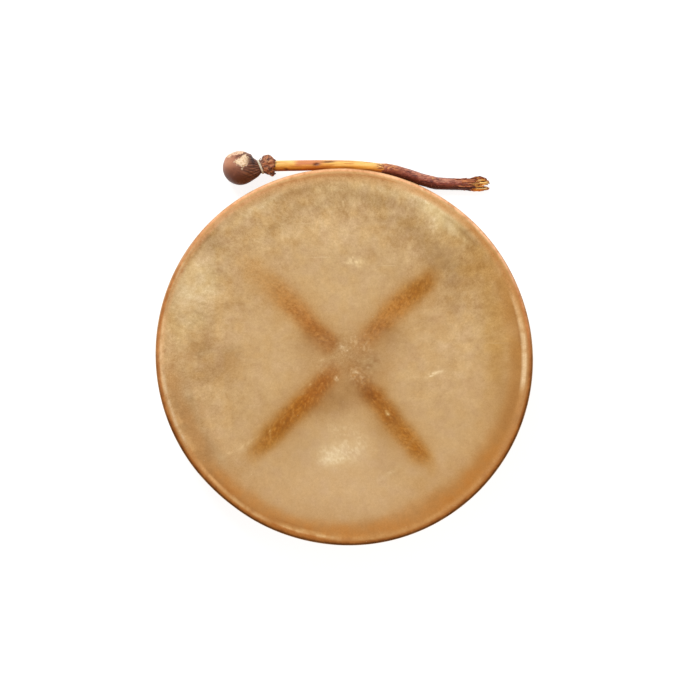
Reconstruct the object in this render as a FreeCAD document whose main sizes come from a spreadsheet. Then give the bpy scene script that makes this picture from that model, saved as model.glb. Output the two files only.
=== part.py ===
import FreeCAD, Part
import math
import os
from FreeCAD import Vector, Placement, Rotation

# Frame drum with its beater. Millimetres, +Z up.
# The drum lies on its back rim with the head up. The origin is the centre of
# the back rim's resting plane. The beater lies beside the drum on the +Y side.

os.makedirs("parts", exist_ok=True)
doc = FreeCAD.newDocument("frame_drum")

# ----------------------------------------------------------------- dimensions
# alias, value or formula, note
DIMS = [
    ("hide_radius", 203.05, "mean outer radius of the hide skirt"),
    ("oval_half", 1.85, "half the difference of the drum's long and short radius"),
    ("drum_depth", 62.7, "back rim to the top of the head"),
    ("skirt_thick", 1.4, "hide thickness on the skirt and the flap"),
    ("head_thick", 1.3, "hide thickness on the stretched head"),
    ("rim_round", 6.3, "outer rounding where the head turns into the skirt"),
    ("inner_round", "=rim_round - skirt_thick + 0.1", "inner rounding of the same turn"),
    ("back_round", 1.2, "outer rounding of the skirt at the back rim"),
    ("hide_gap", 0.2, "slack between hide and hoop"),
    ("hoop_wall", 7.0, "thickness of the bent wood"),
    ("hoop_crown", 4.2, "bevel of the hoop's outer top edge, under the head"),
    ("hoop_outer", "=hide_radius - skirt_thick - hide_gap", "hoop's mean outer radius"),
    ("hoop_inner", "=hoop_outer - hoop_wall", "hoop's mean inner radius"),
    ("hoop_low", "=skirt_thick + hide_gap", "bottom of the hoop"),
    ("hoop_high", "=drum_depth - head_thick - hide_gap", "top of the hoop"),
    ("scarf_gap", 0.25, "glue line of the scarf joint"),
    ("scarf_slope", 0.29, "how fast the glue line crosses the wall, mm per degree"),
    ("nail_radius", 1.0, "scarf nail shank"),
    ("nail_head", 2.5, "scarf nail head radius"),
    ("nail_head_depth", 1.5, "countersunk length of the nail head"),
    ("nail_length", 6.6, "scarf nail"),
    ("nail_slack", 0.06, "slack between a nail and its bore"),
    ("nail_sink", 0.1, "depth of the nail heads under the hoop's outer face"),
    ("flap_start", 194.6, "radius where the flap leaves the rim"),
    ("flap_end", 178.0, "radius of the flap's inner edge"),
    ("flap_rise", 5.2, "height the laces pull the flap's inner edge up"),
    ("flap_slope", "=flap_rise / (flap_start - flap_end)", "rise per mm inwards"),
    ("flap_lap", 0.6, "how far the flap runs into the rim"),
    ("hole_circle", 184.0, "radius of the circle of lace holes"),
    ("hole_radius", 3.2, "lace hole"),
    ("hole_step", 16.0, "degrees between the holes of one arm"),
    ("lace_radius", 1.1, "rawhide lace"),
    ("lace_slack", 0.95, "slack between a lace and the grip ring"),
    ("cross_height", 12.0, "height of the lacing cross over the back rim"),
    ("ring_radius", 15.0, "grip ring, mean radius"),
    ("ring_rod", 2.0, "grip ring, rod radius"),
    ("wrap_bore", 5.0, "bore of the leather wraps"),
    ("wrap_radius", 7.4, "outer radius of the leather wraps"),
    ("wrap_round", 0.9, "rounding of the wraps' outer ends"),
    ("sinew_radius", 0.8, "sinew tie"),
    ("sinew_gap", 0.15, "slack between a sinew tie and its wrap"),
    ("whip_bore", "=wrap_bore + 0.3", "bore of the whipping"),
    ("whip_start", 26.0, "ring centre to the whipping"),
    ("knot_rise", 8.3, "height of the knot over the lacing cross"),
    ("ball_radius", 18.9, "beater head over its leather"),
    ("cover_thick", 1.3, "beater leather"),
    ("core_gap", 0.2, "slack between the padded core and the leather"),
    ("neck_radius", 7.3, "leather gathered under the cord"),
    ("neck_bore", "=neck_radius - 1.25", "inside of the gathered leather"),
    ("collar_radius", 10.8, "widest part of the leather collar"),
    ("collar_bore", "=collar_radius - 1.5", "inside of the collar's widest part"),
    ("hem_taper", 1.4, "how much the collar narrows to its hem"),
    ("cord_radius", 0.95, "binding cord"),
    ("cord_coil", "=neck_radius + cord_radius + 0.12", "radius of the cord's centre line"),
    ("cord_pitch", 2.1, "distance between turns of the cord"),
    ("cord_turns", 1.6, "turns of the cord"),
    ("bark_bore", 4.9, "inside of the bark sleeve"),
    ("wood_in_bark", 4.7, "stick inside the bark sleeve"),
]
sheet = doc.addObject("Spreadsheet::Sheet", "dims")
for row, (alias, value, note) in enumerate(DIMS, start=1):
    sheet.set(f"A{row}", note)
    sheet.set(f"B{row}", str(value))
    sheet.setAlias(f"B{row}", alias)
doc.recompute()


def dim(alias):
    return float(sheet.get(alias))


OVAL_TURN = math.radians(-40.0)  # the drum's long axis, from +X
UP = Vector(0, 0, 1)


# -------------------------------------------------------------------- helpers
def add(kind, name, place=None, **values):
    """A new object; text values are bound as expressions, numbers are set."""
    obj = doc.addObject(kind, name)
    for prop, value in values.items():
        if isinstance(value, str):
            obj.setExpression(prop, value)
        else:
            setattr(obj, prop, value)
    if place is not None:
        obj.Placement = place
    return obj


def cut(name, base, tool):
    result = add("Part::Cut", name)
    result.Base = base
    result.Tool = tool
    return result


def fuse(name, shapes):
    result = add("Part::MultiFuse", name)
    result.Shapes = shapes
    return result


def compound(name, shapes):
    result = add("Part::Compound", name)
    result.Links = shapes
    return result


def loft(name, sections, ruled):
    result = add("Part::Loft", name)
    result.Sections = sections
    result.Solid = True
    result.Ruled = ruled
    return result


def extrude_up(name, base, length):
    result = add("Part::Extrusion", name)
    result.Base = base
    result.DirMode = "Custom"
    result.Dir = UP
    result.Solid = True
    result.setExpression("LengthFwd", length)
    return result


def along(direction):
    """The rotation that turns +Z to a direction."""
    return Rotation(UP, direction)


def ellipse(name, radius, height):
    """An oval outline of the drum; radius and height are expressions."""
    outline = add(
        "Part::Ellipse",
        name,
        Placement(Vector(0, 0, 0), Rotation(UP, math.degrees(OVAL_TURN))),
        MajorRadius=f"({radius}) + dims.oval_half",
        MinorRadius=f"({radius}) - dims.oval_half",
    )
    outline.setExpression("Placement.Base.z", f"({height}) * 1mm")
    return outline


def oval_block(name, radius, low, high):
    """A solid oval cylinder between two heights."""
    return extrude_up(name, ellipse(name + "_outline", radius, low), f"({high}) - ({low})")


def oval_frustum(name, low_radius, low, high_radius, high):
    outlines = [
        ellipse(name + "_low", low_radius, low),
        ellipse(name + "_high", high_radius, high),
    ]
    return loft(name, outlines, ruled=True)


def oval_radius(mean, turn):
    """Radius of the oval with this mean radius, at an angle from +X."""
    long_radius = mean + dim("oval_half")
    short_radius = mean - dim("oval_half")
    from_long = turn - OVAL_TURN
    return (
        long_radius
        * short_radius
        / math.hypot(short_radius * math.cos(from_long), long_radius * math.sin(from_long))
    )


def polar(radius, turn, z=0.0):
    return Vector(radius * math.cos(turn), radius * math.sin(turn), z)


def rounded(name, base, rules):
    """Fillets: rules is [(test on an edge, radius)]; an edge takes its first match."""
    doc.recompute()
    edges = []
    for number, edge in enumerate(base.Shape.Edges, start=1):
        for test, radius in rules:
            if test(edge):
                edges.append((number, radius, radius))
                break
    fillet = add("Part::Fillet", name)
    fillet.Base = base
    fillet.Edges = edges
    doc.recompute()
    return fillet


def level(z):
    """Test for edges lying flat at height z."""

    def test(edge):
        box = edge.BoundBox
        return box.ZLength <= 1e-4 and abs(box.ZMin - z) <= 1e-3

    return test


# ------------------------------------------------------------- hoop and nails
SCARF_AT = math.radians(262.0)  # where the ends of the strip meet
SCARF_TURNS = range(-16, 20, 5)  # stations of the glue line, degrees from SCARF_AT
NAIL_HEIGHTS = (20.0, 43.0)


def make_scarf_slit():
    """The glue line, slipping from the wall's inner face to the outer one."""
    middle = dim("hoop_outer") - dim("hoop_wall") / 2
    half_gap = dim("scarf_gap") / 2
    inner = []
    outer = []
    for degrees in SCARF_TURNS:
        turn = SCARF_AT + math.radians(degrees)
        radius = oval_radius(middle, turn) + dim("scarf_slope") * degrees
        inner.append(polar(radius - half_gap, turn))
        outer.append(polar(radius + half_gap, turn))
    corners = outer[::-1] + inner
    sketch = add("Sketcher::SketchObject", "scarf_sketch")
    for corner, following in zip(corners, corners[1:] + corners[:1]):
        sketch.addGeometry(Part.LineSegment(corner, following), False)
    sketch.Placement = Placement(Vector(0, 0, -10), Rotation())
    return extrude_up("scarf_slit", sketch, "dims.drum_depth + 20")


def nail_set(name, loose):
    """Countersunk nails through the scarf, heads outwards; loose=1 makes their bores."""
    slack = f"{loose} * dims.nail_slack"
    radius = oval_radius(dim("hoop_outer"), SCARF_AT)
    radius += loose * dim("nail_slack") - dim("nail_sink")
    solids = []
    for i, z in enumerate(NAIL_HEIGHTS):
        place = Placement(polar(radius, SCARF_AT, z), along(polar(-1, SCARF_AT)))
        shank = add(
            "Part::Cylinder",
            f"{name}_shank_{i}",
            place,
            Radius=f"dims.nail_radius + {slack}",
            Height=f"dims.nail_length + 3 * {slack}",
        )
        head = add(
            "Part::Cone",
            f"{name}_head_{i}",
            place,
            Radius1=f"dims.nail_head + {slack}",
            Radius2=f"dims.nail_radius + 0.5 * {slack}",
            Height=f"dims.nail_head_depth + {slack}",
        )
        solids.append(fuse(f"{name}_nail_{i}", [head, shank]))
    return solids


def make_hoop():
    """A strip of wood bent into an oval ring, its ends joined in a long scarf."""
    bevel_low = "dims.hoop_high - dims.hoop_crown"
    block = oval_block("hoop_block", "dims.hoop_outer", "dims.hoop_low", bevel_low)
    bevel = oval_frustum(
        "hoop_bevel",
        "dims.hoop_outer",
        bevel_low,
        "dims.hoop_outer - dims.hoop_crown",
        "dims.hoop_high",
    )
    hollow = oval_block(
        "hoop_hollow", "dims.hoop_inner", "dims.skirt_thick - 2", "dims.drum_depth"
    )
    ring = cut("hoop_raw", fuse("hoop_blank", [block, bevel]), hollow)
    bored = cut("hoop_bored", ring, fuse("nail_bores", nail_set("nail_bore", loose=1)))
    return cut("hoop", bored, make_scarf_slit())


# ---------------------------------------------------------------- lacing arms
RING = Vector(0.8, -1.8, dim("cross_height"))  # centre of the grip ring
STRANDS = (-2, -1, 0, 1, 2)  # the strands and holes of one arm, across it


class Arm:
    """An arm of the lacing cross.

    In its own frame x runs outwards along the arm, y to the left seen from
    above, from a point on the arm's line. The wrap's start and end are
    distances from the ring's centre.
    """

    def __init__(self, name, degrees, through, start, end):
        self.name = name
        self.turn = math.radians(degrees)
        self.through = Vector(*through, 0)
        self.start = start
        self.end = end
        self.outward = polar(1, self.turn)
        self.left = Vector(-self.outward.y, self.outward.x, 0)
        self.ring = self.local(RING)

    def local(self, point):
        offset = point - self.through
        return Vector(offset.dot(self.outward), offset.dot(self.left), 0)

    def world(self, point):
        flat = self.through + self.outward * point.x + self.left * point.y
        return Vector(flat.x, flat.y, point.z)

    def place(self, distance):
        """On the arm's line, with +Z turned outwards along the arm."""
        base = self.world(Vector(self.ring.x + distance, 0, RING.z))
        return Placement(base, along(self.outward))

    def holes(self):
        """Lace holes on the oval hole circle, in order round the rim."""
        turns = [self.turn + math.radians(k * dim("hole_step")) for k in STRANDS]
        return [polar(oval_radius(dim("hole_circle"), turn), turn) for turn in turns]


# name, angle in degrees, point on the arm's line, start and end of its wrap
ARMS = [
    Arm("ne", 43.6, (0.0, 0.0), 25.0, 128.0),
    Arm("nw", 134.5, (0.0, 0.0), 24.0, 136.0),
    Arm("sw", 224.2, (1.9, -2.0), 25.0, 138.0),
    Arm("se", 308.6, (0.4, -0.8), 33.0, 138.0),
]


# ------------------------------------------------------------------- drumhead
def make_skin():
    """The stretched head and the skirt down the hoop, open at the back."""
    outer = rounded(
        "skin_outer",
        oval_block("skin_block", "dims.hide_radius", "0", "dims.drum_depth"),
        [
            (level(dim("drum_depth")), dim("rim_round")),
            (level(0.0), dim("back_round")),
        ],
    )
    hollow = oval_block(
        "skin_hollow",
        "dims.hide_radius - dims.skirt_thick",
        "dims.skirt_thick",
        "dims.drum_depth - dims.head_thick",
    )
    inner = rounded(
        "skin_inner",
        hollow,
        [(level(dim("drum_depth") - dim("head_thick")), dim("inner_round"))],
    )
    skin = cut("skin", outer, inner)
    mouth = oval_block("back_mouth", "dims.flap_start", "-3", "dims.skirt_thick + 1")
    return cut("skin_open", skin, mouth)


def make_flap():
    """The shallow cone of hide that the laces draw inwards round the back rim."""
    foot_radius = "dims.flap_start + dims.flap_lap"
    top = oval_frustum(
        "flap_top",
        foot_radius,
        "dims.skirt_thick - dims.flap_lap * dims.flap_slope",
        "dims.flap_end",
        "dims.skirt_thick + dims.flap_rise",
    )
    foot = oval_block("flap_foot", foot_radius, "0", "dims.skirt_thick * 0.8")
    under = oval_frustum("flap_under", "dims.flap_start", "0", "dims.flap_end", "dims.flap_rise")
    mouth = oval_block("flap_mouth", "dims.flap_end", "-1", "dims.drum_depth / 3")
    shell = cut("flap_shell", fuse("flap_solid", [top, foot]), under)
    return cut("flap", shell, mouth)


def make_drumhead():
    """One hide: head, skirt and flap, with the lace holes punched."""
    hide = fuse("hide", [make_skin(), make_flap()])
    punches = []
    for arm in ARMS:
        for i, hole in enumerate(arm.holes()):
            place = Placement(hole - UP * 3, Rotation())
            name = f"punch_{arm.name}_{i}"
            punches.append(
                add("Part::Cylinder", name, place, Radius="dims.hole_radius", Height=16.0)
            )
    return cut("drumhead", hide, fuse("punches", punches))


# --------------------------------------------------------- grip ring and laces
STRAND_STEP = 3.2  # distance between strands at the ring
BUNDLE_START = 24.0  # ring centre to where the strands have gathered
# each strand's place in the bundle: offset across the arm, half height of its pair
BUNDLE = [(-2.3, 1.15), (-1.15, 3.2), (0.0, 1.15), (1.15, 3.2), (2.3, 1.15)]
FAN_GAP = 5.0  # from the wrap's end to where the strands fan out
FAN_SPREAD = 1.9  # widening of the bundle there
EDGE_BACK = 11.0  # from a hole back to where its strands come level with the flap's edge
EDGE_MARGIN = 1.5  # how far inside the flap's edge the flap's slope is still followed
TURN = 2.55  # half the distance between the two strands at the flap
DIAGONAL = 0.71  # share of a turn's radius at its 45 degree corner


def make_grip_ring():
    return add(
        "Part::Torus",
        "grip_ring",
        Placement(RING, Rotation()),
        Radius1="dims.ring_radius",
        Radius2="dims.ring_rod",
    )


def flap_middle(point, least=0.0):
    """Height of the middle of the flap at a point, which follows the oval."""
    from_long = math.atan2(point.y, point.x) - OVAL_TURN
    radius = math.hypot(point.x, point.y) - dim("oval_half") * math.cos(2 * from_long)
    inwards = dim("flap_start") - max(radius, least)
    return 0.5 * dim("skirt_thick") + inwards * dim("flap_slope")


def strand_pair(arm, on_ring, side, rise, hole, reach):
    """Over the ring, out to a hole, through it and back under, in the arm's frame."""
    fan = Vector(arm.ring.x + arm.end + FAN_GAP, side * FAN_SPREAD, 0)
    outward = (hole - fan).normalize()
    bend = hole - outward * TURN
    edge = hole - outward * EDGE_BACK
    corner = bend + outward * (TURN * DIAGONAL)
    fan.z = RING.z
    bend.z = flap_middle(arm.world(bend))
    hole.z = flap_middle(arm.world(hole))
    edge.z = flap_middle(arm.world(edge), dim("flap_end") - EDGE_MARGIN)
    corner.z = 0.3 * bend.z + 0.7 * hole.z
    # middle between the two strands, and half the height between them
    stations = [
        (on_ring - Vector(reach * DIAGONAL, 0, 0), reach * DIAGONAL),
        (on_ring + Vector(0.6, 0, 0), reach),
        (Vector(arm.ring.x + BUNDLE_START, side, RING.z), rise),
        (Vector(arm.ring.x + arm.end + 1.0, side, RING.z), rise),
        (fan, rise),
        (edge, TURN),
        (bend, TURN),
        (corner, TURN * DIAGONAL),
    ]
    over = [middle + UP * lift for middle, lift in stations]
    under = [middle - UP * lift for middle, lift in reversed(stations)]
    return over + [hole] + under


def lace_path(arm):
    """Corner points of an arm's lace, five times round ring and flap."""
    reach = dim("ring_rod") + dim("lace_radius") + dim("lace_slack")
    spots = []
    for k in STRANDS:
        across = STRAND_STEP * k
        x = arm.ring.x + math.sqrt(dim("ring_radius") ** 2 - across**2)
        spots.append(Vector(x, arm.ring.y + across, RING.z))
    inside = Vector(-reach, 0, 0)  # from the rod's centre to the lace inside the ring
    points = [spots[0] + inside]
    following = spots[1:] + spots[-1:]
    for spot, next_spot, (side, rise), hole in zip(spots, following, BUNDLE, arm.holes()):
        points += strand_pair(arm, spot, side, rise, arm.local(hole), reach)
        points.append((spot + next_spot) * 0.5 + inside)
    return [arm.world(point) for point in points]


def make_lace(arm):
    """A round section swept along the lace's path."""
    points = lace_path(arm)
    path = add("Part::Feature", "lace_path_" + arm.name)
    path.Shape = Part.makePolygon(points)
    section = add(
        "Part::Circle",
        "lace_section_" + arm.name,
        Placement(points[0], along(points[1] - points[0])),
        Radius="dims.lace_radius",
    )
    lace = add("Part::Sweep", "lace_" + arm.name)
    lace.Sections = [section]
    lace.Spine = (path, [f"Edge{i}" for i in range(1, len(points))])
    lace.Solid = True
    lace.Frenet = False
    lace.Transition = "Right corner"
    return lace


# ------------------------------------------------------ wraps, ties and knot
TIE_BACKS = (4.0, 6.0)  # from the wrap's end back to its sinew ties
BORE_OVERRUN = 2.0  # how far a wrap's bore tool passes each end
OUTER_EDGE_LEAST = 6.5  # circles wider than this are the wrap's outer edges


def is_outer_circle(edge):
    return edge.Curve.TypeId == "Part::GeomCircle" and edge.Curve.Radius > OUTER_EDGE_LEAST


def make_arm_wrap(arm):
    """The leather sleeve round an arm's strands."""
    length = arm.end - arm.start
    sleeve = add(
        "Part::Cylinder",
        "sleeve_" + arm.name,
        arm.place(arm.start),
        Radius="dims.wrap_radius",
        Height=length,
    )
    bore = add(
        "Part::Cylinder",
        "sleeve_bore_" + arm.name,
        arm.place(arm.start - BORE_OVERRUN),
        Radius="dims.wrap_bore",
        Height=length + 2 * BORE_OVERRUN,
    )
    tube = cut("sleeve_tube_" + arm.name, sleeve, bore)
    return rounded("arm_wrap_" + arm.name, tube, [(is_outer_circle, dim("wrap_round"))])


def make_wrap_ties():
    ties = []
    for arm in ARMS:
        for i, back in enumerate(TIE_BACKS):
            tie = add(
                "Part::Torus",
                f"sinew_{arm.name}_{i}",
                arm.place(arm.end - back),
                Radius1="dims.wrap_radius + dims.sinew_radius + dims.sinew_gap",
                Radius2="dims.sinew_radius",
            )
            ties.append(tie)
    return compound("wrap_ties", ties)


def make_knot(arm):
    """The end of the lacing, whipped round a bare bundle and knotted."""
    band = add(
        "Part::Cylinder",
        "whipping",
        arm.place(dim("whip_start")),
        Radius="dims.whip_bore + 2 * dims.lace_radius",
        Height="4 * dims.lace_radius",
    )
    bore = add(
        "Part::Cylinder",
        "whipping_bore",
        arm.place(dim("whip_start") - 4),
        Radius="dims.whip_bore",
        Height=12.0,
    )
    band_middle = arm.place(dim("whip_start") + 2 * dim("lace_radius")).Base
    lump = add(
        "Part::Sphere",
        "knot_lump",
        Placement(band_middle + UP * dim("knot_rise"), Rotation()),
        Radius="2.6 * dims.lace_radius",
    )
    return cut("tie_off_knot", fuse("knot_solid", [band, lump]), bore)


# --------------------------------------------------------------- beater stick
# A peeled branch that keeps its bark at the far end. Centre line x, y, z and
# radius of the bare wood, from inside the head to the frayed end.
IN_BARK = "dims.wood_in_bark"
STICK = [
    (-117.6, 205.0, 19.6, 4.6),
    (-102.4, 205.8, 18.9, 5.0),
    (-89.4, 206.6, 18.2, 5.2),
    (-69.8, 207.4, 17.1, 5.3),
    (-48.1, 207.9, 15.9, 5.2),
    (-26.3, 208.3, 14.7, 5.1),
    (-0.2, 208.35, 13.2, 5.05),
    (11.8, 208.0, 12.5, 5.1),
    (28.1, 206.5, 11.7, 5.2),
    (40.2, 205.1, 11.1, 5.2),
    (44.0, 204.5, 10.9, IN_BARK),
    (52.1, 203.0, 10.4, IN_BARK),
    (60.8, 200.9, 9.9, IN_BARK),
    (71.7, 197.4, 9.2, IN_BARK),
    (82.6, 193.7, 8.6, IN_BARK),
    (93.5, 190.6, 8.0, IN_BARK),
    (104.5, 188.7, 7.4, IN_BARK),
    (120.8, 188.2, 7.1, IN_BARK),
    (137.2, 187.6, 6.9, IN_BARK),
    (146.5, 187.3, 6.9, 4.0),
]
LINE = [Vector(x, y, z) for x, y, z, _ in STICK]
# direction of the stick at each station, from its neighbours
HEADINGS = [
    (after - before).normalize()
    for before, after in zip(LINE[:1] + LINE[:-1], LINE[1:] + LINE[-1:])
]
SPLINTER_ROOT = Vector(143.5, 187.5, 6.9)
# tip, radius at the root, radius at the tip
SPLINTERS = [
    (Vector(157.6, 192.4, 9.0), 1.9, 0.7),
    (Vector(159.0, 184.8, 5.4), 2.0, 0.8),
    (Vector(152.6, 188.9, 8.6), 2.0, 0.7),
]
BARK_START = 9  # the station where the bark starts
# station of the stick, outer radius of the bark
BARK = [
    (BARK_START, 5.5), (11, 6.2), (12, 6.35), (13, 6.4), (14, 6.5),
    (15, 6.8), (16, 6.5), (17, 6.35), (18, 6.2),
]


def station_loft(name, items):
    """Smooth solid through circles: items is [(station number, radius)]."""
    sections = []
    for n, (station, radius) in enumerate(items):
        place = Placement(LINE[station], along(HEADINGS[station]))
        sections.append(add("Part::Circle", f"{name}_station_{n}", place, Radius=radius))
    return loft(name, sections, ruled=False)


def make_stick():
    """The wood with its frayed end."""
    wood = station_loft("wood", [(i, station[3]) for i, station in enumerate(STICK)])
    splinters = []
    for i, (tip, root_radius, tip_radius) in enumerate(SPLINTERS):
        run = tip - SPLINTER_ROOT
        splinter = add(
            "Part::Cone",
            f"splinter_{i}",
            Placement(SPLINTER_ROOT, along(run)),
            Radius1=root_radius,
            Radius2=tip_radius,
            Height=run.Length,
        )
        splinters.append(splinter)
    return fuse("beater_stick", [wood] + splinters)


def make_bark():
    skin = station_loft("bark_skin", BARK)
    bore_stations = range(BARK_START - 1, len(STICK))
    hole = station_loft("bark_hole", [(i, "dims.bark_bore") for i in bore_stations])
    # the bare wood swells just before the bark starts, so the bore is eased there
    heading = HEADINGS[BARK_START]
    ease = add(
        "Part::Cone",
        "bark_ease",
        Placement(LINE[BARK_START] - heading * 1.5, along(heading)),
        Radius1=5.45,
        Radius2=4.8,
        Height=5.5,
    )
    return cut("beater_bark", skin, fuse("bark_bore_solid", [hole, ease]))


# ---------------------------------------------------------------- beater head
BALL = Vector(-113.3, 205.2, 19.5)
BALL_AXIS = (LINE[3] - BALL).normalize()
# distances along the stick from the ball's centre
THROAT_START = 11.0
NECK_START = 19.0
NECK_END = 24.0
COLLAR_AT = 33.0
HEM_END = 38.5
NECK_LAP = 0.1  # how far the neck runs into the throat and the flare
# station of the stick, radius of the core's socket
SOCKET = [(0, 4.95), (1, 5.35), (2, 5.55), (3, 5.65)]


def on_axis(distance):
    return Placement(BALL + BALL_AXIS * distance, along(BALL_AXIS))


def make_core():
    """The padded ball, with a socket for the stick."""
    radius = "dims.ball_radius - dims.cover_thick - dims.core_gap"
    ball = add("Part::Sphere", "core_ball", on_axis(0), Radius=radius)
    bore = station_loft("core_bore", SOCKET)
    tip = add("Part::Sphere", "core_tip", Placement(LINE[0], Rotation()), Radius=SOCKET[0][1])
    return cut("beater_core", ball, fuse("core_socket", [bore, tip]))


def cover_body(prefix, fused_name, ball, throat, neck, collar, hem_end):
    """Ball, throat, neck, flare and hem in one; ball to collar are radii."""

    def cone(part, start, end, start_radius, end_radius):
        return add(
            "Part::Cone",
            f"{prefix}_{part}",
            on_axis(start),
            Radius1=start_radius,
            Radius2=end_radius,
            Height=end - start,
        )

    neck_tube = add(
        "Part::Cylinder",
        prefix + "_neck",
        on_axis(NECK_START - NECK_LAP),
        Radius=neck,
        Height=NECK_END - NECK_START + 2 * NECK_LAP,
    )
    shapes = [
        add("Part::Sphere", prefix + "_ball", on_axis(0), Radius=ball),
        cone("throat", THROAT_START, NECK_START, throat, neck),
        neck_tube,
        cone("flare", NECK_END, COLLAR_AT, neck, collar),
        cone("hem", COLLAR_AT, hem_end, collar, collar + " - dims.hem_taper"),
    ]
    return fuse(fused_name, shapes)


def make_cover():
    """The leather over the ball, gathered at the neck."""
    solid = cover_body(
        "cover",
        "cover_solid",
        ball="dims.ball_radius",
        throat=15.3,
        neck="dims.neck_radius",
        collar="dims.collar_radius",
        hem_end=HEM_END,
    )
    room = cover_body(
        "room",
        "cover_room",
        ball="dims.ball_radius - dims.cover_thick",
        throat=13.6,
        neck="dims.neck_bore",
        collar="dims.collar_bore",
        hem_end=HEM_END + 0.5,
    )
    return cut("beater_cover", solid, room)


def make_cord():
    """The cord wound round the middle of the neck."""
    half_height = dim("cord_pitch") * dim("cord_turns") / 2
    place = on_axis((NECK_START + NECK_END) / 2 - half_height)
    path = add(
        "Part::Helix",
        "cord_path",
        place,
        Radius="dims.cord_coil",
        Pitch="dims.cord_pitch",
        Height="dims.cord_pitch * dims.cord_turns",
    )
    at_coil = Placement(Vector(dim("cord_coil"), 0, 0), Rotation(Vector(1, 0, 0), 90))
    section = add(
        "Part::Circle", "cord_section", place.multiply(at_coil), Radius="dims.cord_radius"
    )
    cord = add("Part::Sweep", "beater_tie")
    cord.Sections = [section]
    cord.Spine = (path, ["Edge1"])
    cord.Solid = True
    cord.Frenet = True
    return cord


# ------------------------------------------------------ build, check and write
pieces = [
    make_hoop(),
    compound("scarf_nails", nail_set("nail", loose=0)),
    make_drumhead(),
    make_grip_ring(),
    *[make_lace(arm) for arm in ARMS],
    *[make_arm_wrap(arm) for arm in ARMS],
    make_wrap_ties(),
    make_knot(ARMS[-1]),
    make_stick(),
    make_bark(),
    make_core(),
    make_cover(),
    make_cord(),
]
doc.recompute()
failed = [obj.Name for obj in doc.Objects if "Invalid" in obj.State or "Error" in obj.State]
if failed:
    raise RuntimeError("these objects failed to compute: " + ", ".join(failed))
for piece in pieces:
    shape = piece.Shape
    if shape.isNull() or not shape.isValid() or not shape.Solids:
        raise RuntimeError(f"the shape of {piece.Label} is not a valid solid")
for piece in pieces:
    piece.Shape.exportStep(f"parts/{piece.Label}.step")
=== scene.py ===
"""A rawhide frame drum and its beater.

The drum lies flat round the Z axis, its head facing +Z and its laced back rim on the floor.
The beater lies along X beside the +Y edge, its leather head at the -X end.
Lengths are millimetres unless noted; meshes are written in metres.
"""

import bpy
import math
from collections import Counter
from functools import partial

import numpy as np
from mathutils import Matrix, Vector

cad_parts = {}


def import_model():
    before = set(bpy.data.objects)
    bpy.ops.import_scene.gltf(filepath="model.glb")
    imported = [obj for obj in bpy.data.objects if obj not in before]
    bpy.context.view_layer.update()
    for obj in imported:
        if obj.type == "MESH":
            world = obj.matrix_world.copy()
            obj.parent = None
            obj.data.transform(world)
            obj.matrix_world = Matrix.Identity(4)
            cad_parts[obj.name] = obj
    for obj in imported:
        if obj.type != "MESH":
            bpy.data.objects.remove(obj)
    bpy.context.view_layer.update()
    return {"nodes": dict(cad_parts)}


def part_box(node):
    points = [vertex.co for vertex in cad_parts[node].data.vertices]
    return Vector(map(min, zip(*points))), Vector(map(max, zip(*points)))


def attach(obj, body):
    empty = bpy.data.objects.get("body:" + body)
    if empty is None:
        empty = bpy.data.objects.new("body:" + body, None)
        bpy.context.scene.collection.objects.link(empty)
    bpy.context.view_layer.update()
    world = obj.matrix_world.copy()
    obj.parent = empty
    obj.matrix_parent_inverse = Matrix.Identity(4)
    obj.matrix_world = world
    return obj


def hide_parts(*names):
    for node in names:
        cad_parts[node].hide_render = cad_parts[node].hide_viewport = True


TAU = 2 * math.pi
UP = np.array([0, 0, 1.0])

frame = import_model()


# ---------------------------------------------------------------- numbers and noise
def linear(rgb):
    """sRGB 0..255 to linear 0..1."""
    value = np.asarray(rgb, float) / 255.0
    return np.where(value <= .04045, value / 12.92, ((value + .055) / 1.055) ** 2.4)


def numbers(text):
    """The rows of a table written as text."""
    return [tuple(map(float, line.split())) for line in text.strip().splitlines()]


def station(where, table, column=1):
    """Interpolates a column of a table whose first column is the place."""
    return np.interp(where, [row[0] for row in table], [row[column] for row in table])


def smooth(start, end, value):
    share = np.clip((np.asarray(value, float) - start) / (end - start), 0, 1)
    return share * share * (3 - 2 * share)


def coords(x, y, z=0):
    """Stacks three coordinates, broadcast to one shape, as noise input."""
    return np.array(np.broadcast_arrays(x, y, z), float)


def noise(at, seed=0):
    """Smooth value noise in -1..1 at three stacked coordinates."""
    at = coords(*at)
    cell = np.floor(at).astype(np.int64)
    part = at - cell
    ease = part * part * part * (part * (part * 6 - 15) + 10)
    total = np.zeros(at.shape[1:])
    for corner in np.ndindex(2, 2, 2):
        primes = zip(cell, corner, (374761393, 668265263, 1274126177))
        mixed = (sum((c + d) * prime for c, d, prime in primes) + seed * 974634777) & 0xFFFFFFFF
        for shift, factor in ((13, 1103515245), (16, 2246822519)):
            mixed = ((mixed ^ (mixed >> shift)) * factor) & 0xFFFFFFFF
        mixed = (mixed ^ (mixed >> 15)) & 0xFFFFFFFF
        weight = np.prod([e if d else 1 - e for e, d in zip(ease, corner)], axis=0)
        total += weight * (mixed / 2147483647.5 - 1.0)
    return total


def fbm(at, octaves=4, seed=0, gain=.5):
    """Layered noise at three stacked coordinates."""
    at = coords(*at)
    total, size, sizes = np.zeros(at.shape[1:]), 1.0, 0.0
    for octave in range(octaves):
        total += size * noise(at * 2.03**octave + 17.3 * octave, seed + octave)
        sizes += size
        size *= gain
    return total / sizes


def ellipse(x, y, cx, cy, half_x, half_y, turn=0.0):
    """Squared distance from the centre of a turned ellipse; 1 on its outline."""
    cos, sin = math.cos(math.radians(turn)), math.sin(math.radians(turn))
    dx, dy = x - cx, y - cy
    return ((cos * dx + sin * dy) / half_x) ** 2 + ((-sin * dx + cos * dy) / half_y) ** 2


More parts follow.
